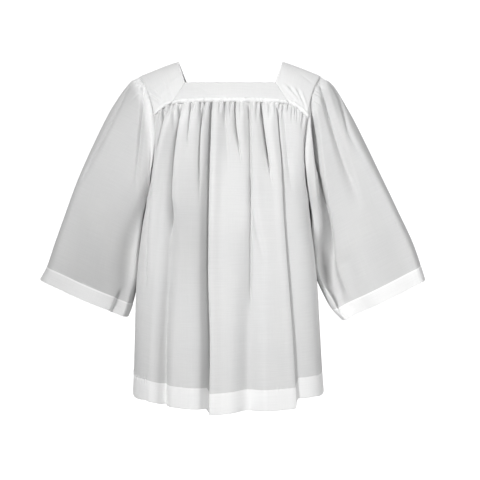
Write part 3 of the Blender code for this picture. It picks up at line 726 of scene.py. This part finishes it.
def make_panel(name, side, creases, gathers, material):
    """A panel with its gathers, creases and turned-up hem."""
    rows = panel_rows()
    columns = np.linspace(-1, 1, PANEL_COLUMNS)
    from_middle = np.abs(columns)
    points, along = panel_points(side, columns, rows)
    below = (rows[:, None] * PANEL_HEIGHT) * np.ones_like(along)
    edges = 1 - fade(*CALM, from_middle)[None, :]
    turned_away = fade(*TURN, from_middle) * (1 - seam_hold(-points[..., 2]))
    sides = fade(*FULL, from_middle) * (1 - turned_away)
    u, v = cloth_lengths(points)
    hold = GATHERS_HELD + (1 - GATHERS_HELD) * fade(0.0, SEAM_HOLD, below)
    lift, slide, tone = crease_relief(creases, points, along)
    # Painted shade and painted light in soft patches.
    tone += painted_light_and_shade(PANEL_PAINTED_LIGHT_AND_SHADE[side], points[..., 0], -points[..., 2])
    lift = lift * (CREASES_HELD + (1 - CREASES_HELD) * fade(0.0, 3 * SEAM_HOLD, below))
    lift += gather_relief(gathers, points, along, below) * hold
    lift += PUFF * between(0.0, 0.016, 0.04, 0.26, below)
    lift += slow_waves(along, v, 7 + side) * fade(0.02, 0.2, below)
    lift *= edges
    lift -= stitched_groove(v, HEM_DEPTH)
    puckered = 0.2 + 0.8 * fade(*PUCKERED, side * columns)
    lift += puckers(along, 61 + side) * bump_at(HEM_DEPTH, PUCKER_HALF_HEIGHT, v) * puckered
    outward = surface_normals(points, side)
    outward[..., 2] *= fade(0.0, 0.08, rows)[:, None]
    sideways = np.gradient(points, axis=1)
    sideways /= np.linalg.norm(sideways, axis=2, keepdims=True)
    slide = slide * edges * fade(0.0, 3 * SEAM_HOLD, below)
    points = points + outward * lift[..., None] + sideways * slide[..., None]
    points[..., 1] += side * FULL_SIDES * sides * fade(0.0, FULL_FROM, below)
    shift = np.interp(points[..., 0], HEM_SHIFTS[side]["x"], HEM_SHIFTS[side]["drop"])
    points[..., 2] -= shift * fade(0.25, 1.0, rows)[:, None]
    tone = np.clip(tone, -1.0, 0.6) * (v > HEM_DEPTH)
    if side > 0:
        points, u, v, tone = turned_round(points, u, v, tone)
    walls = np.where(rows > 1 - HEM_DEPTH / PANEL_HEIGHT, DOUBLED, CLOTH)
    return sheet(name, points, (u, v), walls, material, HEM_DEPTH - HEM_STITCH, tone)


# %% [markdown]
# ## Shader maths as Python
# A material is a graph of nodes. Written out node by node it is hard to read, so one small class wraps a
# socket and lets ordinary operators add the Math nodes.

# %% Sockets that can be added and multiplied
class Sum:
    """A socket whose operators add Math nodes to its material."""

    def __init__(self, tree, socket):
        self.tree = tree
        self.socket = socket

    def maths(self, operation, first, second=None):
        node = self.tree.nodes.new("ShaderNodeMath")
        node.operation = operation
        for place, value in enumerate((first, second)):
            if isinstance(value, Sum):
                self.tree.links.new(value.socket, node.inputs[place])
            elif value is not None:
                node.inputs[place].default_value = value
        return Sum(self.tree, node.outputs[0])

    def __add__(self, other):
        return self.maths("ADD", self, other)

    def __sub__(self, other):
        return self.maths("SUBTRACT", self, other)

    def __rsub__(self, other):
        return self.maths("SUBTRACT", other, self)

    def __mul__(self, other):
        return self.maths("MULTIPLY", self, other)

    def sine(self):
        return self.maths("SINE", self)

    def size(self):
        return self.maths("ABSOLUTE", self)

    def held(self):
        """The value kept between 0 and 1."""
        node = self.maths("ADD", self, 0.0)
        node.socket.node.use_clamp = True
        return node


class Finish:
    """A material in the making: its node tree, and one method that adds any node."""

    def __init__(self, name):
        self.material = bpy.data.materials.new(name)
        self.material.use_nodes = True
        self.tree = self.material.node_tree
        self.shader = self.tree.nodes["Principled BSDF"]

    def node(self, kind, settings=None, inputs=None, output=0):
        node = self.tree.nodes.new(kind)
        for key, value in (settings or {}).items():
            setattr(node, key, value)
        for key, value in (inputs or {}).items():
            self.feed(node.inputs[key], value)
        return Sum(self.tree, node.outputs[output])

    def feed(self, socket, value):
        if isinstance(value, Sum):
            self.tree.links.new(value.socket, socket)
        else:
            socket.default_value = value

    def threads(self):
        """u and v of the cloth, in metres."""
        uv = self.node("ShaderNodeUVMap", {"uv_map": "threads"})
        split = self.tree.nodes.new("ShaderNodeSeparateXYZ")
        self.tree.links.new(uv.socket, split.inputs[0])
        return Sum(self.tree, split.outputs[0]), Sum(self.tree, split.outputs[1])

    def noise(self, u, v, across, down, detail=2.0):
        """Noise stretched to so many spots a metre across and down the cloth."""
        place = self.node("ShaderNodeCombineXYZ", inputs={"X": u * across, "Y": v * down})
        return self.node("ShaderNodeTexNoise", {"noise_dimensions": "2D"},
                         {"Vector": place, "Scale": 1.0, "Detail": detail, "Roughness": 0.55})

    def blend(self, share, first, second, way="MIX"):
        """A colour between two colours, or their product."""
        node = self.tree.nodes.new("ShaderNodeMix")
        node.data_type = "RGBA"
        node.blend_type = way
        self.feed(node.inputs["Factor"], share)
        self.feed(node.inputs[6], first)
        self.feed(node.inputs[7], second)
        return Sum(self.tree, node.outputs[2])


# %% [markdown]
# ## Cotton
# One layer of this cotton is thin enough to look pale grey, and wherever it is doubled, in the yoke, the
# hem and the cuffs, it is nearly pure white. So the colour asks how far a point is from the edge, and it
# follows the tone that each piece carries on its vertices. The tone makes rolled and turned edges whiter,
# and it also carries painted light: painted shade beside creases and on shaded parts, and painted
# highlights on crests and lit parts. The sleeves' cotton is painted a little greyer than the body's, as
# painted shade. The weave is plain, with slubs, the slightly thicker threads that show as faint streaks,
# mostly crosswise.

# %% Cotton finish
def grey(value):
    return (value, value, value, 1.0)


THREAD = 0.00062              # distance between threads
# The second grey is the darkest that painted shade takes the cloth to.
SINGLE, PAINTED_SHADE_GREY, DOUBLED_WHITE, EDGE_WHITE = grey(0.745), grey(0.580), grey(0.955), grey(0.985)
LAYER_STEP, EDGE_STEP = 1500.0, 600.0       # how fast the colour changes at a hem and its seam, per metre


def cotton(name, hem=None, single=SINGLE, doubled=DOUBLED_WHITE):
    """Matt white cotton. hem is the depth of the turned-up cloth; None means doubled all over."""
    finish = Finish(name)
    u, v = finish.threads()
    crosswise = finish.noise(u, v, 16.0, 420.0)
    lengthwise = finish.noise(u, v, 380.0, 14.0)
    cloudy = finish.noise(u, v, 9.0, 9.0, 3.0)
    slubs = crosswise * 0.65 + lengthwise * 0.35
    weave = (u * (2 * math.pi / THREAD)).sine() * (v * (2 * math.pi / THREAD)).sine()
    height = weave * 0.30 + slubs * 1.2
    tone = finish.node("ShaderNodeAttribute", {"attribute_name": "tone"}, output=2)
    colour = doubled
    if hem:
        layers = ((hem - v) * LAYER_STEP + 0.5).held()
        edge = (1.5 - ((v - (hem - HEM_STITCH)) * EDGE_STEP).size()).held()
        # Painted shade: where the tone is below 0, the single cloth is painted greyer.
        painted_shade_colour = finish.blend((tone * -1.0).held(), single, PAINTED_SHADE_GREY)
        colour = finish.blend(layers, painted_shade_colour, doubled)
        colour = finish.blend(edge, colour, EDGE_WHITE)
    # Where the tone is above 0 the cloth is whiter: really so at rolled and turned edges and seam allowances,
    # and painted light elsewhere.
    colour = finish.blend(tone.held(), colour, EDGE_WHITE)
    shade = (slubs - 0.5) * 0.12 + (cloudy - 0.5) * 0.06 + 1.0
    tint = finish.blend(cloudy, (0.992, 0.996, 1.0, 1.0), (1.0, 0.998, 0.990, 1.0))
    toned = finish.blend(1.0, colour, tint, "MULTIPLY")
    shaded = finish.node("ShaderNodeVectorMath", {"operation": "SCALE"}, {0: toned, "Scale": shade})
    bump = finish.node("ShaderNodeBump", inputs={"Strength": 0.22, "Distance": 0.0005, "Height": height})
    finish.feed(finish.shader.inputs["Base Color"], shaded)
    finish.feed(finish.shader.inputs["Roughness"], (cloudy - 0.5) * 0.15 + 0.82)
    finish.feed(finish.shader.inputs["Normal"], bump)
    finish.shader.inputs["Sheen Weight"].default_value = 0.08
    finish.shader.inputs["Specular IOR Level"].default_value = 0.25
    return finish.material


body_cotton = cotton("body_cotton", HEM_DEPTH)
# The sleeves' cotton is painted greyer than the body's, single and doubled, as painted shade: the sleeves
# turn away from the light.
sleeve_cotton = cotton("sleeve_cotton", CUFF_DEPTH, grey(0.700), grey(0.870))
yoke_cotton = cotton("yoke_cotton", doubled=grey(0.800))

# %% Thread finish
thread = Finish("thread")
position = thread.node("ShaderNodeTexCoord", output=3)
twist = thread.node("ShaderNodeTexNoise", inputs={"Vector": position, "Scale": 1600.0, "Detail": 1.0})
colour = thread.blend(twist, (0.84, 0.84, 0.83, 1.0), (0.95, 0.95, 0.95, 1.0))
thread.feed(thread.shader.inputs["Base Color"], colour)
thread.shader.inputs["Roughness"].default_value = 0.55
thread.shader.inputs["Sheen Weight"].default_value = 0.15

# %% Front and back
front_panel = make_panel("front_panel", -1, FRONT_CREASES, with_wrinkles(FRONT_GATHERS, 11), body_cotton)
back_panel = make_panel("back_panel", 1, BACK_CREASES, with_wrinkles(back_gathers(), 12), body_cotton)


# %% [markdown]
# ## Yoke
# The yoke is four doubled pieces: a band across the chest, one across the back, and one over each
# shoulder, joined by mitred seams. Its lower edge is rolled over the gathers and stands out as a bright
# ridge, and the neck has a narrow turned edge with stitches beside it.

# %% Bands across chest and back
def slant_wrinkles(x, drop, seed):
    """Faint slanting drags in the yoke, where the gathers pull at it."""
    draw = np.random.default_rng(seed)
    relief = np.zeros_like(x)
    for _ in range(16):
        middle, low = draw.uniform(-0.20, 0.20), draw.uniform(0.03, 0.11)
        lean = draw.uniform(0.4, 1.6) * np.sign(middle)
        off = (x - middle) - lean * (drop - low)
        reach = bump_at(low, draw.uniform(0.012, 0.030), drop)
        relief += draw.uniform(-0.0012, 0.0010) * reach * bump_at(0.0, draw.uniform(0.004, 0.010), off)
    return relief


YOKE_DRAGS = millimetres("x drop end_x end_drop height width",
    (134, 72, 175, 117, 2.6, 4.4), (146, 74, 180, 122, -2, 4), (158, 77, 184, 128, 2.6, 4.4),
    (169, 82, 190, 134, -2, 3.6), (178, 86, 194, 140, 2.2, 3.6), (-211, 72, -181, 98, 2.2, 3.4),
    (-203, 90, -176, 112, -2.2, 3.4), (-198, 101, -172, 122, 2, 3), (-168, 60, -151, 92, -1.4, 4),
    (-156, 82, -144, 106, 1.6, 3.6), (-90, 72, -46, 100, -1, 6), (88, 70, 40, 100, -1, 6))


def yoke_drags(x, drop):
    """The yoke's plain drags: straight soft ridges and hollows, mostly beside the mitred corners."""
    relief = np.zeros_like(x)
    for start_x, start_drop, end_x, end_drop, height, width in zip(*YOKE_DRAGS.values()):
        way = np.array([end_x - start_x, end_drop - start_drop])
        along = ((x - start_x) * way[0] + (drop - start_drop) * way[1]) / (way @ way)
        off = ((x - start_x) * way[1] - (drop - start_drop) * way[0]) / np.hypot(*way)
        reach = between(-0.15, 0.25, 0.75, 1.15, along)
        relief += height * reach * bump_at(0.0, width, off)
    return relief


NECK_STITCH = 0.0045          # distance of the stitches from the neck edge
ROLL_DEPTH, ROLL_OUT, ROLL_HANG = 0.0085, 0.0042, 0.0046
ROLL_WHITE = 0.75             # tone of the rolled edge
# The shoulder pieces face up into the light, and their whiter tone is painted light.
SHOULDER_PAINTED_LIGHT = 0.35         # tone of the shoulder pieces, which look whiter than the bands
SIDE_ROLL = {-1: 0.45, 1: 1.0}              # the roll's share on the shoulder pieces' lower edges
MITRE_BAND, MITRE_SHOULDER, MITRE_HALF_WIDTH = 0.0011, 0.0005, 0.0018       # groove of a mitred seam
ARMHOLE_GROOVE, ARMHOLE_HALF_WIDTH = 0.0015, 0.0025


def waviness(draw, x, slow, fast, waves):
    """A sum of waves along the yoke, with so many radians a metre."""
    return sum(np.sin(draw.uniform(slow, fast) * x + draw.uniform(0, 6)) for _ in range(waves))


def rolled_edge(x, off_edge, seed):
    """How far the rolled lower edge of the yoke stands out, and how far it hangs over the gathers."""
    draw = np.random.default_rng(seed)
    uneven = 1 + 0.40 * waviness(draw, x, 40, 420, 7) / 3
    uneven += 0.12 * waviness(draw, x, 420, 820, 5) / 2
    round_roll = np.clip(1 - off_edge / ROLL_DEPTH, 0.0, 1.0)
    out = ROLL_OUT * uneven * np.sin(np.pi * round_roll ** 1.4) ** 0.8 - 0.0020 * fade(0.85, 1.0, round_roll)
    return out, ROLL_HANG * (0.8 + 0.2 * uneven) * round_roll ** 1.5


def neck_turn(from_neck):
    """The narrow turned edge at the neck: its thickness, and how white it is."""
    return 0.0008 * bump_at(0.003, 0.0024, from_neck), 1 - fade(0.002, 0.004, from_neck)


def roll_tone(from_edge):
    return ROLL_WHITE - ROLL_WHITE * fade(0.7 * ROLL_DEPTH, 1.1 * ROLL_DEPTH, from_edge)


def make_band(name, side, neck_drop, material):
    """A band of the yoke: from the neck down to the rolled edge, between its two mitres."""
    across, height = np.meshgrid(np.linspace(-1, 1, 301), np.linspace(0, 1, 57) ** 0.6)
    mitre = NECK_HALF_LOW + (YOKE_CORNER - NECK_HALF_LOW) * height - 0.0002
    x = across * mitre
    drop = neck_drop + (yoke_seam_drop(x) - neck_drop) * height
    points = np.stack([x, body_depth(side, x, drop), -drop], axis=2)
    u, v = cloth_lengths(points)
    neck_lift, neck_white = neck_turn(v.max(axis=0)[None, :] - v)
    lift, hang = rolled_edge(x, v, 21 + side)
    lift += neck_lift
    lift += slant_wrinkles(x, drop, 25 + side) + yoke_drags(-side * x, drop)
    lift -= MITRE_BAND * bump_at(0.0, MITRE_HALF_WIDTH, mitre - np.abs(x))
    points = points + surface_normals(points, side) * lift[..., None]
    points[..., 2] -= hang
    tone = roll_tone(v) + neck_white
    if side > 0:
        points, u, v, tone = turned_round(points, u, v, tone)
    return sheet(name, points, (u, v), [DOUBLED] * len(height), material, v.max(axis=0) - NECK_STITCH, tone)


front_band = make_band("front_band", -1, NECK_DROP_FRONT, yoke_cotton)
back_band = make_band("back_band", 1, NECK_DROP_BACK, yoke_cotton)


# %% Shoulder pieces
def shoulder_path(hand, side, share, neck_drop):
    """A line over the shoulder from the yoke's lower edge to the shoulder line, before or behind."""
    low_edge = abs(float(armhole_edge(hand, yoke_seam_end(hand))))
    top_edge = abs(float(armhole_edge(hand, armhole_top(hand))))
    low_x = NECK_HALF_LOW + (low_edge - NECK_HALF_LOW) * share
    top_x = NECK_HALF_TOP + (top_edge - NECK_HALF_TOP) * share
    corner_drop = float(yoke_seam_drop(YOKE_CORNER))
    along_mitre = (low_x - NECK_HALF_LOW) / (YOKE_CORNER - NECK_HALF_LOW)
    if along_mitre < 1:
        low_drop = neck_drop + (corner_drop - neck_drop) * along_mitre
    else:
        low_drop = float(yoke_seam_drop(low_x))
    top_drop = float(shoulder_drop(top_x))
    turn = np.sin(np.linspace(0, np.pi / 2, FINE))
    drop = low_drop + (top_drop - low_drop) * turn
    x = low_x + (top_x - low_x) * turn
    seam = np.abs(armhole_edge(hand, drop)) - (low_edge + (top_edge - low_edge) * turn)
    x = x + seam * share ** 3
    y = body_depth(side, hand * x, drop)
    y[-1] = 0.0
    return np.stack([hand * x, y, -drop], axis=1)


def make_shoulder(name, hand, material):
    """A shoulder piece: from the neck edge out to the armhole, from the front mitre to the back one."""
    shares = np.linspace(0, 1, 71)
    steps = np.linspace(0, 1, 181)
    lines = []
    for share in shares:
        front = shoulder_path(hand, -1, share, NECK_DROP_FRONT)
        back = shoulder_path(hand, 1, share, NECK_DROP_BACK)
        lines.append(even_steps(np.concatenate([front, back[-2::-1]]), steps))
    points = np.array(lines)
    x, drop = points[..., 0], -points[..., 2]
    low_edge = abs(float(armhole_edge(hand, yoke_seam_end(hand))))
    corner = (YOKE_CORNER - NECK_HALF_LOW) / (low_edge - NECK_HALF_LOW)
    u, v = cloth_lengths(points)
    neck_lift, neck_white = neck_turn(v.max(axis=0)[None, :] - v)
    off_front = u - u[:, :1]
    off_back = u[:, -1:] - u
    beside_panel = fade(corner - 0.04, corner + 0.04, shares)[:, None] * SIDE_ROLL[hand]
    front_roll, front_hang = rolled_edge(x, off_front, 27)
    back_roll, back_hang = rolled_edge(x, off_back, 28)
    lift = (front_roll + back_roll) * beside_panel
    mitres = bump_at(0.0, MITRE_HALF_WIDTH, off_front) + bump_at(0.0, MITRE_HALF_WIDTH, off_back)
    lift -= MITRE_SHOULDER * mitres * (1 - beside_panel)
    lift += neck_lift
    lift += slant_wrinkles(x, drop, 29 + hand) * 1.5 + yoke_drags(np.where(points[..., 1] < 0, x, -x), drop)
    lift -= ARMHOLE_GROOVE * bump_at(0.0, ARMHOLE_HALF_WIDTH, v)
    points = points + surface_normals(points, -hand) * lift[..., None]
    points[..., 2] -= (front_hang + back_hang) * beside_panel
    # Painted light on the shoulder pieces, and a whiter rolled edge beside the panels.
    tone = SHOULDER_PAINTED_LIGHT + roll_tone(np.minimum(off_front, off_back)) * beside_panel
    tone += (1 - SHOULDER_PAINTED_LIGHT) * neck_white
    if hand < 0:
        points, u, v, tone = points[::-1], u[::-1], v[::-1], tone[::-1]
    return sheet(name, points, (u, v), [DOUBLED] * len(shares), material, v.max(axis=0) - NECK_STITCH, tone)


left_shoulder = make_shoulder("left_shoulder", -1, yoke_cotton)
right_shoulder = make_shoulder("right_shoulder", 1, yoke_cotton)

# %% [markdown]
# ## Sleeves
# A bell sleeve is a tube. It is gathered where it is sewn to the shoulder, hangs in a few long soft
# folds and ends in a deep turned-up cuff.

# %% Measures of the sleeves
SLEEVE_DEPTHS = table("way lean front back",
    (0.00, 0.000, 0.090, 0.090), (0.05, 0.006, 0.091, 0.091), (0.15, 0.018, 0.093, 0.094),
    (0.30, 0.035, 0.096, 0.099), (0.45, 0.045, 0.098, 0.103), (0.60, 0.045, 0.098, 0.105),
    (0.75, 0.035, 0.096, 0.104), (0.90, 0.022, 0.092, 0.100), (1.00, 0.015, 0.090, 0.098))
SLEEVE_LEFT = SLEEVE_DEPTHS | millimetres("outer outer_drop inner inner_drop",
    (234.5, 40.5, 216, 360), (254, 57, 219, 373), (297, 113, 226.5, 402), (352, 210, 234.5, 452),
    (394, 300, 240, 505), (428.5, 394, 244, 555), (455.5, 470, 250, 598), (477, 532, 259, 640),
    (492.5, 560, 266.5, 660))
SLEEVE_RIGHT = SLEEVE_DEPTHS | millimetres("outer outer_drop inner inner_drop",
    (233.5, 34.5, 203, 360), (255.6, 53, 206.5, 374), (300, 122, 211, 408), (352, 217, 215, 455),
    (400, 315, 220, 505), (438.5, 396, 226, 553), (470, 463, 240, 597), (492.5, 526, 264, 643),
    (503, 560, 287.6, 668))

# Creases of the sleeves: place round the tube at some ways down it (0 is the outer edge, 0.25 the middle
# of the front, 0.5 the inner edge, 0.75 the middle of the back), start, end, depth and two widths.
SLEEVE_WAYS = np.array([0.0, 0.10, 0.20, 0.35, 0.55, 0.85])
LEFT_CREASES = table("a b c d e f start end depth outer inner soft",
    (0.06, 0.19, 0.29, 0.33, 0.33, 0.33, -0.05, 0.26, 0.015, 0.012, 0.045, 0.001),
    (0.01, 0.045, 0.078, 0.1, 0.088, 0.088, 0.02, 0.5, 0.007, 0.006, 0.024, 0.001),
    (0.2, 0.18, 0.15, 0.15, 0.16, 0.17, 0.5, 1.2, 0.005, 0.06, 0.06, 0.03),
    (0.4, 0.4, 0.4, 0.4, 0.395, 0.375, 0.74, 1.2, 0.01, 0.012, 0.06, 0.002),
    (0.6, 0.61, 0.62, 0.63, 0.63, 0.63, 0.15, 1.2, 0.01, 0.05, 0.035, 0.004),
    (0.78, 0.76, 0.74, 0.72, 0.71, 0.71, -0.05, 0.8, 0.011, 0.03, 0.02, 0.002),
    (0.9, 0.89, 0.87, 0.86, 0.85, 0.85, -0.05, 0.55, 0.008, 0.024, 0.012, 0.001))
RIGHT_CREASES = table("a b c d e f start end depth outer inner soft",
    (0.05, 0.118, 0.162, 0.19, 0.215, 0.24, -0.05, 0.46, 0.014, 0.022, 0.034, 0.005),
    (0.15, 0.238, 0.3, 0.342, 0.374, 0.39, -0.05, 0.98, 0.036, 0.022, 0.034, 0.008),
    (0.000, 0.035, 0.1, 0.12, 0.12, 0.12, -0.05, 0.36, 0.007, 0.014, 0.02, 0.003),
    (0.052, 0.052, 0.052, 0.054, 0.06, 0.06, 0.36, 1.02, 0.006, 0.01, 0.006, 0.001),
    (0.24, 0.25, 0.26, 0.27, 0.3, 0.33, 0.52, 1.2, 0.007, 0.04, 0.05, 0.02),
    (0.61, 0.62, 0.64, 0.65, 0.65, 0.65, 0.15, 1.2, 0.011, 0.04, 0.05, 0.004),
    (0.79, 0.77, 0.75, 0.73, 0.72, 0.715, -0.05, 0.75, 0.012, 0.024, 0.032, 0.002),
    (0.91, 0.9, 0.88, 0.865, 0.85, 0.85, -0.05, 0.6, 0.008, 0.014, 0.024, 0.001))
# Soft patches of painted shade (amounts below 0) and painted light (above 0) on the sleeves, where they turn
# away from the light or catch it.
SLEEVE_PAINTED_LIGHT_AND_SHADE = {
    -1: table("place down half_round half_way amount",
        (0.27, 0.80, 0.12, 0.38, -1.05), (0.41, 0.52, 0.07, 0.30, 0.75), (0.72, 0.70, 0.16, 0.40, -0.60)),
    1: table("place down half_round half_way amount",
        (0.20, 0.72, 0.16, 0.40, -0.75), (0.36, 0.50, 0.04, 0.35, -0.50), (0.75, 0.70, 0.16, 0.40, -0.60))}
OUTER_FULLNESS = {-1: 0.018, 1: 0.024}      # how far the outer side swells forward
INNER_FULLNESS = {-1: 0.030, 1: 0.044}      # how far the inner side swells forward
OUTER_PLACE, INNER_PLACE, FULL_HALF_WIDTH = 0.085, 0.455, 0.05
INWARDS = {-1: 0.004, 1: 0.0085}            # how far the inner side lies in towards the body
SEAM_ALLOWANCE = 0.012                      # doubled cloth beside the armhole seam
SEAM_WHITE = {-1: 0.85, 1: 0.30}            # tone of that cloth


# %% Make a sleeve
SLEEVE_COLUMNS = 341
HEAD_WAY = 0.55               # share of a sleeve over which it leaves the armhole's form for its own
HEAD_SWELL = 0.004            # how far the gathered head swells out below the seam
HEAD_GAP, UNDERARM_GAP = 0.0006, 0.0020     # how far it stays off the body at the seam
TOP_TUCK, SIDE_TUCK = 0.0010, 0.0020        # how far its first rows lie under the body's edge
ARM_DENT = 0.003              # depth of the left head's dent in front


def section(sleeve, hand, way, round_way):
    """A point of the sleeve's plain tube."""
    value = {name: smooth_curve(sleeve["way"], sleeve[name], way) for name in sleeve}
    outer = np.stack([hand * value["outer"], 0 * way, -value["outer_drop"]], axis=-1)
    inner = np.stack([hand * value["inner"], value["lean"], -value["inner_drop"]], axis=-1)
    turn = 2 * np.pi * round_way
    depth = np.where(round_way < 0.5, value["front"], value["back"])
    point = (outer + inner) / 2 + (outer - inner) / 2 * np.cos(turn)[..., None]
    point[..., 1] -= depth * np.sin(turn)
    return point


def sleeve_head(hand, round_way):
    """The sleeve's first ring: the armhole seam."""
    front = round_way <= 0.5
    points = np.zeros(round_way.shape + (3,))
    points[front] = armhole_line(hand, -1, 2 * round_way[front])
    points[~front] = armhole_line(hand, 1, 2 - 2 * round_way[~front])
    under = between(0.28, 0.44, 0.56, 0.72, round_way)
    points[:, 0] += hand * (HEAD_GAP + UNDERARM_GAP * under)
    drop = -points[:, 2]
    forward = FULL_SIDES * seam_hold(drop) * fade(0.0, FULL_FROM, drop - yoke_seam_end(hand))
    points[:, 1] += np.where(front, -1, 1) * forward
    return points


def off_place(place, u, around):
    """Distance round the sleeve from a place on it, the shorter way."""
    return ((u / around - place + 0.5) % 1.0 - 0.5) * around


def sleeve_relief(creases, hand, way, u, around):
    """Depth of a sleeve's creases and of the gathers at its head."""
    relief = np.zeros_like(way)
    for crease in zip(*creases.values()):
        start, end, depth, outer, inner, soft = crease[6:]
        place = smooth_curve(SLEEVE_WAYS, np.array(crease[:6]), way)
        off = off_place(place, u, around)
        reach = between(start, start + 0.12, end - 0.20, end, way)
        relief -= depth * reach * valley(off, outer, inner, soft)
    draw = np.random.default_rng(41 + hand)
    for place in np.linspace(-0.15, 0.15, 23) + draw.uniform(-0.004, 0.004, 23):
        off = off_place(place, u, around)
        length = draw.uniform(0.03, 0.11)
        depth = draw.uniform(0.0040, 0.0090) * (1 - (place / 0.2) ** 2)
        width = draw.uniform(0.003, 0.006) * (1 + 5 * way)
        relief -= depth * (1 - fade(0.1 * length, length, way)) * valley(off, 1.4 * width, width)
    return relief


def make_sleeve(name, hand, sizes, creases, material):
    """A bell sleeve: a tube from the armhole seam to a turned-up cuff."""
    length = np.hypot(np.ptp(sizes["outer"]), np.ptp(sizes["outer_drop"]))
    cuff = 1 - CUFF_DEPTH / length
    close = np.array([-0.014, -0.006, -0.003, -0.001, 0.001, 0.003, 0.006, 0.014])
    rows = np.concatenate([np.linspace(0, 0.2, 37)[:-1], np.linspace(0.2, cuff - 0.02, 46), cuff + close,
                           np.linspace(cuff + 0.02, 0.998, 8), [1.0]])
    round_way, way = np.meshgrid(np.linspace(0, 1, SLEEVE_COLUMNS)[:-1], rows)
    points = section(sizes, hand, way, round_way)
    shift = sleeve_head(hand, round_way[0]) - points[0]
    points = points + shift * (1 - fade(0.0, HEAD_WAY, way))[..., None]
    forward = OUTER_FULLNESS[hand] * bump_at(OUTER_PLACE, FULL_HALF_WIDTH, round_way)
    forward += INNER_FULLNESS[hand] * bump_at(INNER_PLACE, FULL_HALF_WIDTH, round_way)
    points[..., 1] -= forward * fade(0.05, 0.35, way)
    beside_body = bump_at(0.46, 0.045, round_way) * between(0.10, 0.30, 0.60, 0.85, way)
    points[..., 0] -= hand * INWARDS[hand] * beside_body
    ring = np.concatenate([points, points[:, :1]], axis=1)
    u, v = cloth_lengths(ring)
    u = u - u[:, :1]
    around = u[:, -1:]
    lift = sleeve_relief(creases, hand, way, u[:, :-1], around)
    across = 0.12 * np.sin(2 * np.pi * round_way)
    lift += slow_waves(across, v[:, :-1], 51 + hand) * fade(0.05, 0.3, way)
    lift += HEAD_SWELL * between(0.0, 0.05, 0.08, 0.4, way)
    lift *= fade(-0.03, 0.05, way)
    from_top = np.minimum(round_way, 1 - round_way)
    lift -= (TOP_TUCK + SIDE_TUCK * fade(0.02, 0.12, from_top)) * (1 - fade(0.0, 0.018, way))
    if hand < 0:
        lift -= ARM_DENT * bump_at(0.045, 0.012, way) * between(0.10, 0.16, 0.32, 0.38, round_way)
    lift -= stitched_groove(v[:, :-1], CUFF_DEPTH)
    points = points + surface_normals(points, hand, closed=True) * lift[..., None]
    points = np.concatenate([points, points[:, :1]], axis=1)
    allowance = SEAM_WHITE[hand] * (1 - fade(SEAM_ALLOWANCE, 3 * SEAM_ALLOWANCE, v[:1] - v))
    # Painted shade and painted light in soft patches above the cuff.
    patches = painted_light_and_shade(SLEEVE_PAINTED_LIGHT_AND_SHADE[hand], *np.meshgrid(np.linspace(0, 1, SLEEVE_COLUMNS), rows))
    tone = np.clip(allowance + patches * (v > CUFF_DEPTH), -1.0, 1.0)
    if hand > 0:
        points, u, v, tone = turned_round(points, u, v, tone)
    walls = np.where(rows > cuff, DOUBLED, CLOTH)
    return sheet(name, points, (u, v), walls, material, CUFF_DEPTH - HEM_STITCH, tone, closed=True)


left_sleeve = make_sleeve("left_sleeve", -1, SLEEVE_LEFT, LEFT_CREASES, sleeve_cotton)
right_sleeve = make_sleeve("right_sleeve", 1, SLEEVE_RIGHT, RIGHT_CREASES, sleeve_cotton)

# %% [markdown]
# ## Which solid each piece stands for
# Each sheet replaces its imported solid, which is hidden, and its row of stitches takes the thread finish.
# Each row also gives the material slot the piece would take its finish from and the size it was cut to, but
# nothing here reads them. A gathered panel is cut much wider than it looks.

for piece, node, slot, flat, area, held in (
        (front_panel, "body_front", "body_cloth", (0.86, 0.80), 0.60, "gathered"),
        (back_panel, "body_back", "body_cloth", (0.86, 0.80), 0.60, "gathered"),
        (front_band, "yoke_front", "yoke_cloth", (0.30, 0.06), 0.0165, "draped"),
        (back_band, "yoke_back", "yoke_cloth", (0.30, 0.075), 0.0215, "draped"),
        (left_shoulder, "yoke_left", "yoke_cloth", (0.30, 0.13), 0.030, "draped"),
        (right_shoulder, "yoke_right", "yoke_cloth", (0.30, 0.13), 0.030, "draped"),
        (left_sleeve, "sleeve_left", "sleeve_cloth", (0.74, 0.62), 0.36, "gathered"),
        (right_sleeve, "sleeve_right", "sleeve_cloth", (0.74, 0.62), 0.36, "gathered")):
    stitches = STITCHES[piece.name]
    stitches.data.materials.append(thread.material)
    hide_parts(node)
